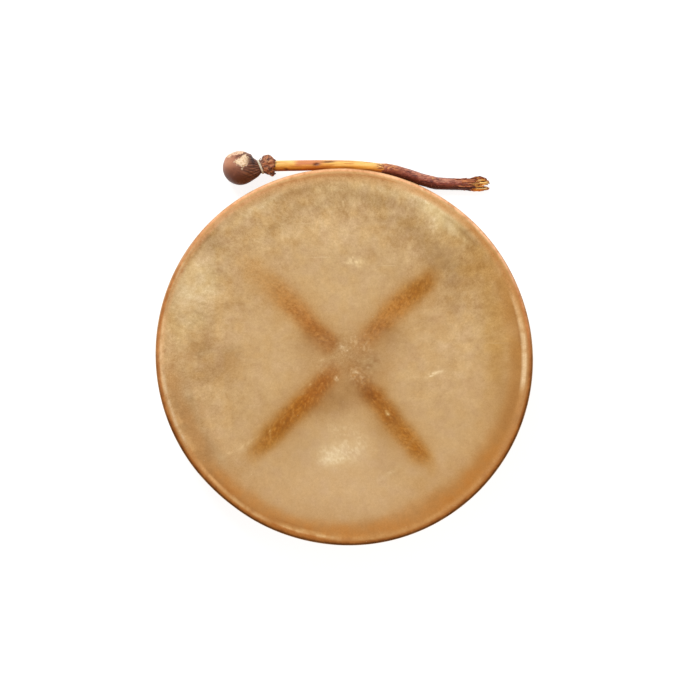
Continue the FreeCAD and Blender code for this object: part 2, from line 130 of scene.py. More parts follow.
def spot(x, y, *shape):
    """A soft elliptical spot, 1 at its centre."""
    return np.exp(-ellipse(x, y, *shape))


def bell(value, width):
    return np.exp(-((value / width) ** 2))


# ---------------------------------------------------------------- vertex colour, sRGB 0..255
TONE = np.array([.72, 1.0, 1.45])  # lightening changes blue most, red least


def plain(rgb, count):
    return np.tile(np.array(rgb, float), (count, 1))


def paint(tint, *layers):
    """Mixes (colour, weight) layers into a tint, one over another."""
    for rgb, weight in layers:
        tint += (np.asarray(rgb, float) - tint) * weight[:, None]


def tone(tint, amount):
    """Lightens a tint by the amount, or darkens it below zero."""
    tint *= 1 + amount[:, None] * TONE


def paint_spots(tint, x, y, table, gain):
    """Paints rows of x, y, half sizes, turn, red, green, blue, strength."""
    for row in table:
        paint(tint, (row[5:8], np.clip(row[8] * spot(x, y, *row[:5]) * gain, 0, 1)))


# ---------------------------------------------------------------- meshes
def add_mesh(name, verts, faces, material, body, slot, replaced=None, tint=None, **values):
    mesh = bpy.data.meshes.new(name)
    points = (np.asarray(verts, float) / 1000.0).tolist()
    mesh.from_pydata(points, [], [list(map(int, face)) for face in faces])
    mesh.validate(verbose=False)
    mesh.update()
    mesh.polygons.foreach_set("use_smooth", [True] * len(mesh.polygons))
    if tint is not None:
        rgba = np.ones((len(verts), 4), np.float32)
        rgba[:, :3] = linear(np.clip(tint, 0, 255))
        mesh.attributes.new("tint", "FLOAT_COLOR", "POINT").data.foreach_set("color", rgba.ravel())
    for key, value in values.items():
        layer = mesh.attributes.new(key, "FLOAT", "POINT")
        layer.data.foreach_set("value", np.asarray(value, np.float32))
    thing = bpy.data.objects.new(name, mesh)
    bpy.context.scene.collection.objects.link(thing)
    mesh.materials.append(material)
    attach(thing, body)
    if replaced:
        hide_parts(replaced)
    return thing


def merge(parts):
    """Joins (vertices, faces) parts into one."""
    faces, count = [], 0
    for verts, own in parts:
        faces += [[i + count for i in face] for face in own]
        count += len(verts)
    return np.vstack([verts for verts, _ in parts]), faces


def place(origin, axes, *amounts):
    """Points at the given amounts along each axis from the origin."""
    return origin + sum(amount[..., None] * axis for axis, amount in zip(axes, amounts))


def lengths(path):
    """Distance run along a path at each of its points."""
    return np.concatenate([[0], np.cumsum(np.linalg.norm(np.diff(path, axis=0), axis=1))])


def carried_frame(path):
    """Tangents, normals and binormals along a path, without twist."""
    along = np.gradient(path, axis=0)
    along /= np.linalg.norm(along, axis=1)[:, None] + 1e-12
    normal = UP - along[0] * (UP @ along[0])
    if np.linalg.norm(normal) < 1e-3:  # the path sets off straight up or down
        normal = np.array([1.0, 0, 0]) - along[0] * along[0][0]
    normal /= np.linalg.norm(normal)
    normals = np.zeros_like(along)
    for i, tangent in enumerate(along):
        normal = normal - tangent * (normal @ tangent)
        normal /= np.linalg.norm(normal) + 1e-12
        normals[i] = normal
    return along, normals, np.cross(along, normals)


def band(first, second, count, flip=False):
    """Quads between two rings of vertices, given by their first indices."""
    quads = []
    for j in range(count):
        k = (j + 1) % count
        if flip:
            quads.append((first + j, second + j, second + k, first + k))
        else:
            quads.append((first + j, first + k, second + k, second + j))
    return quads


def loft(rings, capped=True):
    """Quads between closed rings, with fans at the ends if capped."""
    count, sides, _ = rings.shape
    verts = rings.reshape(-1, 3)
    faces = []
    for i in range(count - 1):
        faces += band(i * sides, (i + 1) * sides, sides)
    if capped:
        centre = len(verts)
        last = centre - sides
        verts = np.vstack([verts, rings[0].mean(0), rings[-1].mean(0)])
        faces += [(centre, (j + 1) % sides, j) for j in range(sides)]
        faces += [(centre + 1, last + j, last + (j + 1) % sides) for j in range(sides)]
    return verts, faces


def sleeve(outer, inner):
    """An open tube with an outer and an inner wall, joined at both ends."""
    outer_verts, faces = loft(outer, False)
    inner_verts, inner_faces = loft(inner, False)
    base, sides = len(outer_verts), outer.shape[1]
    verts = np.vstack([outer_verts, inner_verts])
    faces += [tuple(i + base for i in reversed(face)) for face in inner_faces]
    faces += band(0, base, sides, flip=True)
    faces += band(base - sides, len(verts) - sides, sides)
    return verts, faces


def tube(path, radius, sides=12, twist=0.0, flat=1.0):
    """A swept tube; flat squashes the section and twist turns it."""
    _, up, side = carried_frame(path)
    angle = np.arange(sides) * TAU / sides
    radius = radius.reshape(len(path), -1)
    twist = np.broadcast_to(twist, len(path))[:, None]
    across, thick = np.cos(angle) * radius, np.sin(angle) * radius * flat
    rise = np.cos(twist) * across - np.sin(twist) * thick
    spread = np.sin(twist) * across + np.cos(twist) * thick
    return loft(place(path[:, None], (up[:, None], side[:, None]), rise, spread))


def curve(points, step):
    """Points about every step along a centripetal Catmull-Rom curve."""
    points = np.asarray(points, float)
    points = np.vstack([2 * points[0] - points[1], points, 2 * points[-1] - points[-2]])
    out = []
    for i in range(1, len(points) - 2):
        four = points[i - 1 : i + 3]
        gaps = [np.linalg.norm(b - a) for a, b in zip(four, four[1:])]
        knots = np.cumsum([0.0] + [max(1e-6, gap**.5) for gap in gaps])
        count = max(2, int(gaps[1] / step) + 1)
        where = np.linspace(knots[1], knots[2], count, endpoint=False)[:, None]

        def between(a, b, low, high):
            span = high - low
            return (high - where) / span * a + (where - low) / span * b

        once = [between(four[k], four[k + 1], knots[k], knots[k + 1]) for k in range(3)]
        twice = [between(once[k], once[k + 1], knots[k], knots[k + 2]) for k in range(2)]
        out.append(between(twice[0], twice[1], knots[1], knots[2]))
    return np.vstack(out + [points[-2][None]])


# ---------------------------------------------------------------- materials
class Shader:
    """A material whose methods add nodes and return their output sockets."""

    def __init__(self, name):
        self.material = bpy.data.materials.new(name)
        self.material.use_nodes = True
        self.tree = self.material.node_tree
        self.tree.nodes.clear()
        output = self.node("ShaderNodeOutputMaterial")
        self.surface = self.node("ShaderNodeBsdfPrincipled")
        self.tree.links.new(self.surface.outputs[0], output.inputs[0])
        self.place = self.node("ShaderNodeTexCoord").outputs["Object"]

    def node(self, kind, inputs=None, **settings):
        made = self.tree.nodes.new(kind)
        for key, value in settings.items():
            setattr(made, key, value)
        for key, value in (inputs or {}).items():
            self.feed(made.inputs[key], value)
        return made

    def feed(self, socket, value):
        if isinstance(value, bpy.types.NodeSocket):
            self.tree.links.new(value, socket)
        else:
            socket.default_value = value

    def math(self, operation, a, b=0.0, c=0.0):
        return self.node("ShaderNodeMath", {0: a, 1: b, 2: c}, operation=operation).outputs[0]

    def add(self, a, b):
        return self.math("ADD", a, b)

    def mul(self, a, b):
        return self.math("MULTIPLY", a, b)

    def line(self, value, gain, base):
        """value * gain + base"""
        return self.math("MULTIPLY_ADD", value, gain, base)

    def centred(self, value, gain):
        """(value - 0.5) * gain"""
        return self.mul(self.math("SUBTRACT", value, .5), gain)

    def stretch(self, scale=(1, 1, 1), turn=(0, 0, 0), vector=None):
        inputs = {"Vector": vector or self.place, "Scale": scale, "Rotation": turn}
        return self.node("ShaderNodeMapping", inputs).outputs[0]

    def noise(self, scale=1.0, detail=3.0, rough=.55, warp=0.0, vector=None):
        inputs = {"Vector": vector or self.place, "Scale": scale, "Detail": detail,
                  "Roughness": rough, "Distortion": warp}
        return self.node("ShaderNodeTexNoise", inputs).outputs["Fac"]

    def cells(self, scale, vector=None):
        inputs = {"Vector": vector or self.place, "Scale": scale}
        return self.node("ShaderNodeTexVoronoi", inputs).outputs["Distance"]

    def ramp(self, value, start, end, low=0.0, high=1.0):
        inputs = {"Value": value, "From Min": start, "From Max": end,
                  "To Min": low, "To Max": high}
        return self.node("ShaderNodeMapRange", inputs, interpolation_type="SMOOTHSTEP").outputs[0]

    def mix(self, weight, a, b, mode="MIX"):
        """Mixes two colours, each a socket or an sRGB triple."""
        made = self.node("ShaderNodeMix", {0: weight}, data_type="RGBA", blend_type=mode)
        for key, value in ((6, a), (7, b)):
            if isinstance(value, tuple):
                value = tuple(float(part) for part in linear(value)) + (1.0,)
            self.feed(made.inputs[key], value)
        return made.outputs[2]

    def attribute(self, name, output="Color"):
        return self.node("ShaderNodeAttribute", attribute_name=name).outputs[output]

    def shade(self, color, red, green, blue):
        """Multiplies a colour channel by channel."""
        factors = self.node("ShaderNodeCombineColor", {0: red, 1: green, 2: blue})
        return self.mix(1.0, color, factors.outputs[0], "MULTIPLY")

    def bump(self, height, strength, distance):
        """A bumped normal; the distance is in metres."""
        inputs = {"Strength": strength, "Distance": distance, "Height": height}
        return self.node("ShaderNodeBump", inputs).outputs[0]

    def finish(self, color, rough, normal, metallic=0.0, spec=.5, sheen=0.0, coat=0.0):
        inputs = {"Base Color": color, "Roughness": rough, "Metallic": metallic,
                  "Specular IOR Level": spec, "Normal": normal}
        if sheen:
            inputs["Sheen Weight"] = sheen
        if coat:
            inputs["Coat Weight"] = coat
            inputs["Coat Roughness"] = .3
        for key, value in inputs.items():
            self.feed(self.surface.inputs[key], value)
        return self.material


def rawhide_material():
    mat = Shader("rawhide_head")
    busy, grit = mat.attribute("busy", "Fac"), mat.attribute("grit", "Fac")
    cloud = mat.noise(scale=34, detail=5, rough=.62, warp=.6)
    fine = mat.noise(scale=170, detail=5, rough=.7, warp=.2)
    grain = mat.noise(scale=900, detail=2, rough=.6)
    middle = mat.noise(scale=430, detail=3, rough=.7)
    total = None
    # pattern, what drives its strength, how much, and its least strength
    for pattern, driver, gain, least in (
        (cloud, busy, .36, .07), (fine, busy, .40, .14),
        (grain, grit, .55, .12), (middle, grit, .62, .03),
    ):
        layer = mat.centred(pattern, mat.line(driver, gain, least))
        total = mat.add(total, layer) if total else layer
    tones = [mat.line(total, float(gain), 1.0) for gain in TONE]
    color = mat.shade(mat.attribute("tint"), *tones)
    # a drier, yellower bloom in some clouds and a redder cast in others
    hue = mat.noise(scale=21, detail=4, rough=.6, warp=.4,
                    vector=mat.stretch(turn=(.3, .2, .9)))
    bloom = mat.mul(mat.ramp(hue, start=.55, end=.75), mat.line(busy, gain=.20, base=.02))
    color = mat.mix(bloom, color, (220, 190, 146))
    cast = mat.mul(mat.ramp(hue, start=.46, end=.30), mat.line(busy, gain=.22, base=.06))
    color = mat.mix(cast, color, (192, 142, 88))
    # hair-thin pale scratches in three directions: turn in radians, threshold
    for k, (turn, limit) in enumerate(((.5, .735), (-.75, .745), (1.45, .75))):
        lines = mat.stretch(scale=(9, 620, 200), turn=(0, 0, turn))
        scratch = mat.ramp(mat.noise(detail=2, rough=.5, vector=lines), limit, limit + .04)
        gate = mat.ramp(mat.noise(scale=14.0 + 3 * k, detail=2), start=.52, end=.66)
        color = mat.mix(mat.mul(mat.mul(scratch, gate), .5), color, (236, 212, 168))
    pore = mat.ramp(mat.cells(scale=230), start=.10, end=.02)
    gate = mat.ramp(mat.noise(scale=40, detail=2), start=.45, end=.62)
    color = mat.mix(mat.mul(pore, mat.mul(gate, .40)), color, (120, 82, 46))
    fleck = mat.cells(scale=150, vector=mat.stretch(turn=(.2, .5, .3)))
    gate = mat.ramp(mat.noise(scale=27, detail=2), start=.5, end=.68)
    weight = mat.mul(mat.ramp(fleck, start=.085, end=.02), mat.mul(gate, .5))
    color = mat.mix(weight, color, (240, 220, 178))
    height = mat.add(mat.mul(fine, .7), mat.mul(grain, .35))
    return mat.finish(
        color, rough=mat.add(mat.mul(fine, .28), .42),
        normal=mat.bump(height, strength=.22, distance=.0006),
        spec=mat.line(mat.attribute("matte", "Fac"), gain=-.18, base=.18),
    )


def lace_material():
    mat = Shader("rawhide_lace")
    broad = mat.noise(scale=60, detail=4, rough=.6)
    fine = mat.noise(scale=480, detail=3, rough=.6)
    color = mat.mix(broad, (168, 122, 74), (226, 192, 138))
    color = mat.mix(mat.ramp(fine, start=.42, end=.3), color, (150, 100, 54))
    color = mat.mix(mat.ramp(fine, start=.62, end=.72), color, (238, 214, 168))
    return mat.finish(color, rough=mat.line(fine, gain=.3, base=.35),
                      normal=mat.bump(fine, strength=.35, distance=.0004), spec=.4)


def wrap_material():
    mat = Shader("wrap_leather")
    broad = mat.noise(scale=45, detail=4, rough=.6)
    cell = mat.cells(scale=700)
    fine = mat.noise(scale=260, detail=4, rough=.65)
    color = mat.mix(broad, (88, 50, 27), (140, 88, 52))
    color = mat.mix(mat.mul(mat.attribute("edge", "Fac"), .75), color, (176, 128, 84))
    color = mat.shade(color, *[mat.line(fine, gain=.5, base=.74)] * 3)
    color = mat.mix(mat.ramp(cell, start=.1, end=0.0, high=.4), color, (52, 28, 14))
    height = mat.add(mat.mul(cell, .6), fine)
    return mat.finish(color, rough=mat.line(fine, gain=.3, base=.42),
                      normal=mat.bump(height, strength=.35, distance=.0004),
                      spec=.35, sheen=.1)


def sinew_material():
    mat = Shader("sinew")
    fine = mat.noise(scale=520, detail=4, rough=.6)
    color = mat.mix(fine, (166, 128, 80), (232, 212, 168))
    return mat.finish(color, rough=mat.line(fine, gain=.3, base=.45),
                      normal=mat.bump(fine, strength=.4, distance=.0003), spec=.3)


def hoop_material():
    """Wood whose grain runs round the Z axis."""
    mat = Shader("bent_wood")
    x, y, z = mat.node("ShaderNodeSeparateXYZ", {"Vector": mat.place}).outputs[0:3]
    bearing = mat.mul(mat.math("ARCTAN2", y, x), .2)
    radius = mat.math("SQRT", mat.add(mat.mul(x, x), mat.mul(y, y)))
    bent = mat.node("ShaderNodeCombineXYZ", {0: bearing, 1: radius, 2: z}).outputs[0]
    grain = mat.noise(detail=5, rough=.6, warp=.6,
                      vector=mat.stretch(scale=(7, 160, 160), vector=bent))
    streak = mat.noise(detail=3, rough=.6, warp=.2,
                       vector=mat.stretch(scale=(2, 520, 520), vector=bent))
    pore = mat.noise(detail=2, rough=.6,
                     vector=mat.stretch(scale=(40, 1500, 1500), vector=bent))
    color = mat.mix(grain, (150, 104, 62), (206, 164, 112))
    color = mat.mix(mat.ramp(streak, start=.56, end=.7, high=.5), color, (122, 78, 42))
    color = mat.mix(mat.ramp(pore, start=.64, end=.72, high=.55), color, (92, 58, 30))
    height = mat.add(mat.mul(streak, .6), mat.mul(pore, .5))
    return mat.finish(color, rough=mat.line(grain, gain=.25, base=.45),
                      normal=mat.bump(height, strength=.3, distance=.0004), spec=.3)


def steel_material(name, rust):
    mat = Shader(name)
    broad = mat.noise(scale=160, detail=4, rough=.65)
    fine = mat.noise(scale=900, detail=3, rough=.6)
    rusty = mat.ramp(broad, start=.62 - rust, end=.74 - rust)
    color = mat.mix(rusty, (150, 148, 142), (104, 66, 40))
    color = mat.shade(color, *[mat.line(fine, gain=.3, base=.85)] * 3)
    metallic = mat.math("SUBTRACT", 1.0, mat.mul(rusty, .8))
    return mat.finish(color, rough=mat.line(rusty, gain=.35, base=.32),
                      normal=mat.bump(fine, strength=.15, distance=.0002), metallic=metallic)


def tint_material(name, rough, grain, amount, bump, spec, coat=0.0, sheen=0.0, speck=None):
    """The mesh's tint broken up by grain; speck is colour, start, end, strength."""
    mat = Shader(name)
    fibre = mat.noise(detail=4, rough=.6, warp=.3, vector=mat.stretch(scale=grain))
    fine = mat.noise(scale=700, detail=4, rough=.65)
    broad = mat.noise(scale=90, detail=4, rough=.6)
    factor = mat.add(mat.centred(fibre, amount), 1.0)
    factor = mat.add(factor, mat.centred(fine, amount * .9))
    factor = mat.add(factor, mat.centred(broad, amount * .8))
    color = mat.shade(mat.attribute("tint"), *[factor] * 3)
    if speck is not None:
        speck_rgb, start, end, strength = speck
        flecks = mat.noise(scale=420, detail=3, rough=.6, vector=mat.stretch(turn=(.4, .1, .7)))
        color = mat.mix(mat.ramp(flecks, start, end, high=strength), color, speck_rgb)
    height = mat.add(mat.mul(fibre, .8), mat.mul(fine, .5))
    return mat.finish(color, rough=mat.line(fine, gain=.25, base=rough - .12),
                      normal=mat.bump(height, strength=bump, distance=.0004),
                      spec=spec, coat=coat, sheen=sheen)


def felt_material():
    mat = Shader("padding")
    fine = mat.noise(scale=800, detail=4, rough=.7)
    broad = mat.noise(scale=120, detail=3, rough=.6)
    color = mat.mix(broad, (206, 196, 172), (238, 232, 214))
    color = mat.shade(color, *[mat.line(fine, gain=.3, base=.82)] * 3)
    return mat.finish(color, rough=.95, normal=mat.bump(fine, strength=.5, distance=.0006),
                      spec=.1, sheen=.4)


RAWHIDE = rawhide_material()
LACE = lace_material()
WRAP = wrap_material()
SINEW = sinew_material()
PEELED_WOOD = tint_material(
    "peeled_wood", rough=.42, grain=(28, 620, 620), amount=.30, bump=.25, spec=.35, coat=.1)
BARK = tint_material(
    "red_bark", rough=.45, grain=(60, 420, 420), amount=.62, bump=.5, spec=.4,
    speck=((196, 132, 108), .63, .72, .55))
SPLIT_WOOD = tint_material(
    "split_wood", rough=.6, grain=(90, 900, 900), amount=.42, bump=.5, spec=.25)
BEATER_LEATHER = tint_material(
    "beater_leather", rough=.5, grain=(500, 500, 500), amount=.34, bump=.35, spec=.4, sheen=.03)
# the collar's pale specks are painted glints
COLLAR_LEATHER = tint_material(
    "collar_leather", rough=.55, grain=(300, 300, 300), amount=.95, bump=.7, spec=.35,
    speck=((196, 150, 104), .60, .70, .8))
CORD = tint_material(
    "binding_cord", rough=.7, grain=(900, 900, 900), amount=.45, bump=.5, spec=.2)

# ---------------------------------------------------------------- drum dimensions
OVAL, OVAL_BEARING = 1.85, math.radians(-40.0)  # the long axis gains this much radius
head_low, head_high = (1000 * np.array(corner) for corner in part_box("drumhead"))
HIDE_R = round(float(sum((head_high - head_low)[:2])) / 4, 2)
DEPTH = round(float(head_high[2]), 2)
ARC_R = 203.0  # radius at which lengths round the rim are measured
SKIRT_THICK, HEAD_THICK = 1.4, 1.3
RIM_R = 6.3  # rounding between head and skirt
FLAP_OUTER, FLAP_INNER, FLAP_RISE = 194.6, 178.0, 5.2
FLAP_SLOPE = FLAP_RISE / (FLAP_OUTER - FLAP_INNER)
LACING_R = 184.0
HOLE_R = 3.0
RING = np.round(500 * sum(np.array(corner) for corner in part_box("grip_ring")), 1)
RING_R = 15.0
# name, bearing in degrees, origin of the arm's frame, wrap's start and end from the ring
ARMS = [
    ("ne", 43.6, (0.0, 0.0), 25.0, 128.0),
    ("nw", 134.5, (0.0, 0.0), 24.0, 136.0),
    ("sw", 224.2, (1.9, -2.0), 25.0, 138.0),
    ("se", 308.6, (.4, -.8), 33.0, 138.0),
]
HOLE_STEP = 16.0  # degrees between an arm's five holes
HOLE_BEARINGS = [math.radians(arm[1] + HOLE_STEP * k) for arm in ARMS for k in range(-2, 3)]


def oval(bearing):
    return OVAL * np.cos(2 * (bearing - OVAL_BEARING))


def hole_xy(bearing):
    long, short = LACING_R + OVAL, LACING_R - OVAL
    turned = bearing - OVAL_BEARING
    radius = long * short / math.hypot(short * math.cos(turned), long * math.sin(turned))
    return radius * math.cos(bearing), radius * math.sin(bearing)


HOLE_XY = np.array([hole_xy(bearing) for bearing in HOLE_BEARINGS])


# ---------------------------------------------------------------- hide colours
# The dark arms of the cross that show on the head: the painted shadow of the grip's
# wrapped arms, seen through the hide. Each arm: start, end, start and end colour,
# half width; stations (share of length, strength); stations (share, sideways offset,
# width factor); stations (share, shift of red, green, blue)
CROSS = [
    ((-11.83, 12.9), (-106.46, 100.01), (170, 102, 38), (188, 130, 62), 11.4,
     [(-.06, 0), (.0, .55), (.08, .95), (.25, .92), (.4, .80), (.55, .80), (.7, .58),
      (.85, .34), (.95, .30), (1.05, .14), (1.18, 0)],
     [(0, 1.51, .90), (.2, 1.18, .90), (.3, .32, .95), (.4, -1.61, 1), (.65, -2.04, 1.18),
      (.8, -1.83, 1.05), (1.1, -1.08, 1)],
     [(0, -10, -12, -12), (.2, -12, -9, -7), (.3, 0, 0, 0), (.6, 3, 7, 8), (.8, -4, 0, 0),
      (1.0, -7, -4, -2)]),
    ((13.98, 18.28), (93.56, 88.72), (184, 124, 60), (174, 109, 34), 12.04,
     [(-.12, 0), (0, .38), (.1, .78), (.25, .84), (.4, .88), (.55, .96), (.7, 1), (.85, 1),
      (.95, .84), (1.05, .36), (1.13, 0)],
     [(0, -6.99, .85), (.1, -5.91, .85), (.2, -4.84, .78), (.3, -4.09, .80), (.4, -1.94, 1),
      (.7, -1.83, 1.03), (.8, -2.47, .85), (.9, -3.33, .80), (1.0, -1.51, .80)],
     [(0, -6, -10, -10), (.2, -12, -11, -7), (.4, 3, 3, 1), (.55, 4, 4, 3), (.7, -5, -1, 0),
      (.82, -14, -9, -7), (1.0, -13, -6, 1)]),
    ((-11.83, -13.98), (-94.64, -102.16), (166, 101, 40), (172, 104, 18), 11.83,
     [(-.08, 0), (0, .55), (.1, .92), (.25, 1), (.7, 1), (.85, .9), (.95, .64), (1.05, .34),
      (1.16, 0)],
     [(0, 2.04, .90), (.2, 2.58, .95), (.3, 2.37, 1), (.5, 1.08, .92), (.7, .11, .93),
      (.8, .11, .86), (.9, .75, .77), (1.05, .22, .74)],
     [(0, -5, -8, -8), (.1, -10, -9, -7), (.3, -1, -5, -9), (.45, -2, -4, -12),
      (.6, -8, -8, -9), (.8, -10, -6, -3), (1.0, -9, -5, 3)]),
    ((10.75, -12.9), (90.33, -110.77), (162, 102, 40), (176, 112, 30), 10.32,
     [(-.1, 0), (0, .30), (.1, .82), (.25, 1), (.4, 1), (.55, .94), (.7, 1), (.85, .98),
      (.95, .76), (1.05, .28), (1.15, 0)],
     [(0, -1.29, .80), (.1, -1.29, .80), (.2, -3.23, .90), (.3, -1.29, 1), (.5, -1.94, 1.03),
      (.6, -2.69, 1.06), (.7, -3.12, 1.13), (.8, -3.23, 1.02), (.9, -2.26, .95),
      (1.1, -.65, .85)],
     [(0, -10, -12, -12), (.1, -16, -18, -16), (.2, -14, -15, -12), (.35, -7, -8, -7),
      (.5, -5, -10, -13), (.6, 0, 0, 1), (.8, -1, -2, 1), (1.0, -6, -7, -4)]),
]

# soft clouds on the hide: x, y, half sizes, turn, red, green, blue, strength
CLOUDS = numbers("""
-8.6 -101.09 18.28 16.13 0 216 184 137 .75
-9.68 -107.54 13.98 6.45 6 230 202 158 .8
-4.3 -94.64 9.68 5.38 0 226 194 148 .6
-15.06 -116.14 9.68 5.38 0 220 188 142 .5
105.39 152.71 23.66 9.68 -38 240 216 176 1
90.33 162.39 15.06 5.38 -28 234 208 164 .85
120.44 137.65 15.06 7.53 -45 228 202 158 .75
77.43 167.76 12.9 5.38 -20 222 192 146 .7
94.64 141.95 12.9 6.45 -35 222 192 146 .6
-163.46 79.58 18.28 25.81 24 226 196 150 .95
-149.48 107.54 12.9 12.9 40 214 180 132 .6
-169.91 47.32 9.68 17.21 8 220 188 140 .75
-159.16 64.52 21.51 6.45 12 228 200 156 .6
-157.01 88.18 13.98 11.83 30 228 200 154 .55
-178.52 23.66 6.45 17.21 4 216 184 134 .6
-91.41 161.31 17.21 6.45 32 216 182 134 .7
0 184.97 32.26 5.38 0 214 178 128 .6
-168.84 68.83 16.13 25.81 20 214 186 136 .7
-144.1 83.88 10.75 12.9 0 208 180 130 .55
-159.16 43.02 15.06 9.68 0 206 178 128 .5
-172.06 21.51 9.68 15.06 0 204 176 128 .4
-80.66 165.61 13.98 5.38 30 212 184 138 .6
-109.69 149.48 12.9 6.45 38 206 176 128 .5
-10.75 181.74 36.56 5.38 0 214 184 134 .55
51.62 175.29 15.06 4.3 -15 216 188 140 .5
86.03 160.23 13.98 7.53 -25 218 190 142 .62
106.46 149.48 17.21 9.68 -35 224 200 152 .75
126.9 129.05 10.75 7.53 -40 212 186 138 .5
136.58 83.88 12.9 15.06 0 204 172 122 .35
-10.75 -106.46 23.66 9.68 0 224 194 148 .75
12.9 -94.64 9.68 7.53 0 220 188 142 .45
49.47 -122.6 19.36 9.68 20 216 184 138 .4
-189.27 -34.41 3.76 32.26 8 226 196 148 .7
194.65 17.21 3.44 27.96 0 232 204 158 .75
-190.35 -6.45 3.23 23.66 0 222 190 142 .55
-25.81 47.32 64.52 36.56 0 207 170 120 .35
21.51 64.52 43.02 32.26 0 206 170 121 .3
-79.58 -64.52 32.26 43.02 0 205 167 117 .35
96.79 10.75 43.02 43.02 0 208 170 119 .4
0 -139.8 96.79 36.56 0 211 172 123 .7
-64.52 -10.75 36.56 43.02 0 207 169 117 .4
115.07 64.52 16.13 13.98 -40 176 136 86 .75
92.48 60.22 10.75 12.9 0 190 150 102 .4
120.44 90.33 15.06 12.9 -35 178 138 88 .7
141.95 83.88 15.06 17.21 -30 182 142 92 .55
157.01 98.94 10.75 19.36 25 184 142 88 .6
-131.2 -6.45 23.66 16.13 0 180 139 90 .72
-172.06 6.45 12.9 15.06 0 212 176 124 .6
-120.44 -21.51 21.51 15.06 0 190 150 100 .5
-105.39 60.22 17.21 15.06 0 194 156 106 .5
-107.54 -53.77 32.26 27.96 -30 196 158 107 .45
-64.52 -120.44 32.26 23.66 20 196 157 106 .4
118.29 -64.52 27.96 27.96 0 198 158 106 .4
73.13 126.9 15.06 10.75 -30 184 144 94 .5
32.26 150.56 25.81 6.45 -10 188 150 102 .4
93.56 118.29 17.21 9.68 -45 166 132 86 .55
111.84 98.94 13.98 10.75 -40 160 127 84 .62
64.52 144.1 23.66 8.6 -25 170 137 90 .5
32.26 167.76 32.26 6.45 -8 172 138 90 .55
-30.11 163.46 36.56 7.53 8 172 138 90 .5
-68.83 139.8 27.96 10.75 30 176 142 94 .45
-141.95 122.6 12.9 10.75 40 160 126 80 .55
-129.05 103.24 17.21 10.75 40 172 138 92 .4
-154.86 8.6 13.98 8.6 0 165 131 88 .5
-120.44 6.45 10.75 6.45 0 176 142 98 .35
-168.84 -17.21 15.06 10.75 0 170 135 88 .45
-161.31 -51.62 12.9 9.68 -20 180 145 96 .3
27.96 -4.3 11.83 8.6 0 170 134 92 .5
-32.26 12.9 15.06 10.75 40 184 146 102 .35
172.06 -32.26 7.53 36.56 4 168 126 74 .55
157.01 55.92 12.9 27.96 0 182 148 98 .45
178.52 90.33 8.6 27.96 20 178 142 90 .4
139.8 124.75 8.6 21.51 35 176 138 86 .35
0 111.84 75.28 23.66 0 190 154 106 .45
64.52 90.33 32.26 19.36 0 192 156 108 .35
-184.97 43.02 6.45 53.77 8 176 142 90 .35
0 -2.15 19.36 12.9 0 190 150 104 .45
12.9 -25.81 15.06 10.75 0 186 146 98 .35
0 27.96 12.9 8.6 0 197 160 112 .3
-184.97 81.73 5.38 43.02 20 172 136 84 .35
-10.75 -36.56 21.51 13.98 0 172 133 86 .66
-34.41 -53.77 25.81 15.06 -20 178 138 88 .62
0 -3.23 47.32 12.9 0 186 148 100 .45
-36.56 15.06 21.51 8.6 0 184 145 96 .5
-48.39 -96.79 25.81 19.36 0 188 150 102 .42
43.02 -77.43 12.9 34.41 8 182 141 90 .58
53.77 -120.44 25.81 11.83 10 190 149 98 .42
19.36 15.06 40.87 9.68 0 176 138 90 .62
45.17 31.19 18.28 9.68 0 184 144 92 .5
-139.8 -19.36 16.13 11.83 0 172 131 82 .66
98.94 100.01 13.98 10.75 -30 166 126 74 .55
107.54 111.84 15.06 10.75 -35 176 136 84 .45
118.29 113.99 23.66 16.13 -35 180 140 88 .55
-5.38 177.44 23.66 5.38 0 180 143 94 .6
62.37 161.31 13.98 6.45 -15 172 134 88 .62
60.22 135.5 16.13 11.83 0 184 146 98 .4
-112.92 135.5 13.98 9.68 30 182 144 98 .4
162.39 8.6 16.13 66.67 0 194 150 88 .52
-113.99 -120.44 25.81 19.36 30 190 150 100 .35
83.88 -133.35 21.51 10.75 20 188 144 88 .45
-30.11 137.65 36.56 16.13 8 220 186 138 .55
-8.6 116.14 27.96 12.9 0 216 182 134 .35
-169.91 51.62 9.68 11.83 0 226 196 150 .45
-176.37 0 9.68 9.68 0 222 190 142 .6
-172.06 -40.87 8.6 10.75 0 212 178 130 .5
-144.1 81.73 8.6 8.6 0 220 190 142 .4
66.67 -17.21 8.6 7.53 0 226 194 146 .4
-13.98 -107.54 9.68 6.45 0 236 208 164 .55
""")

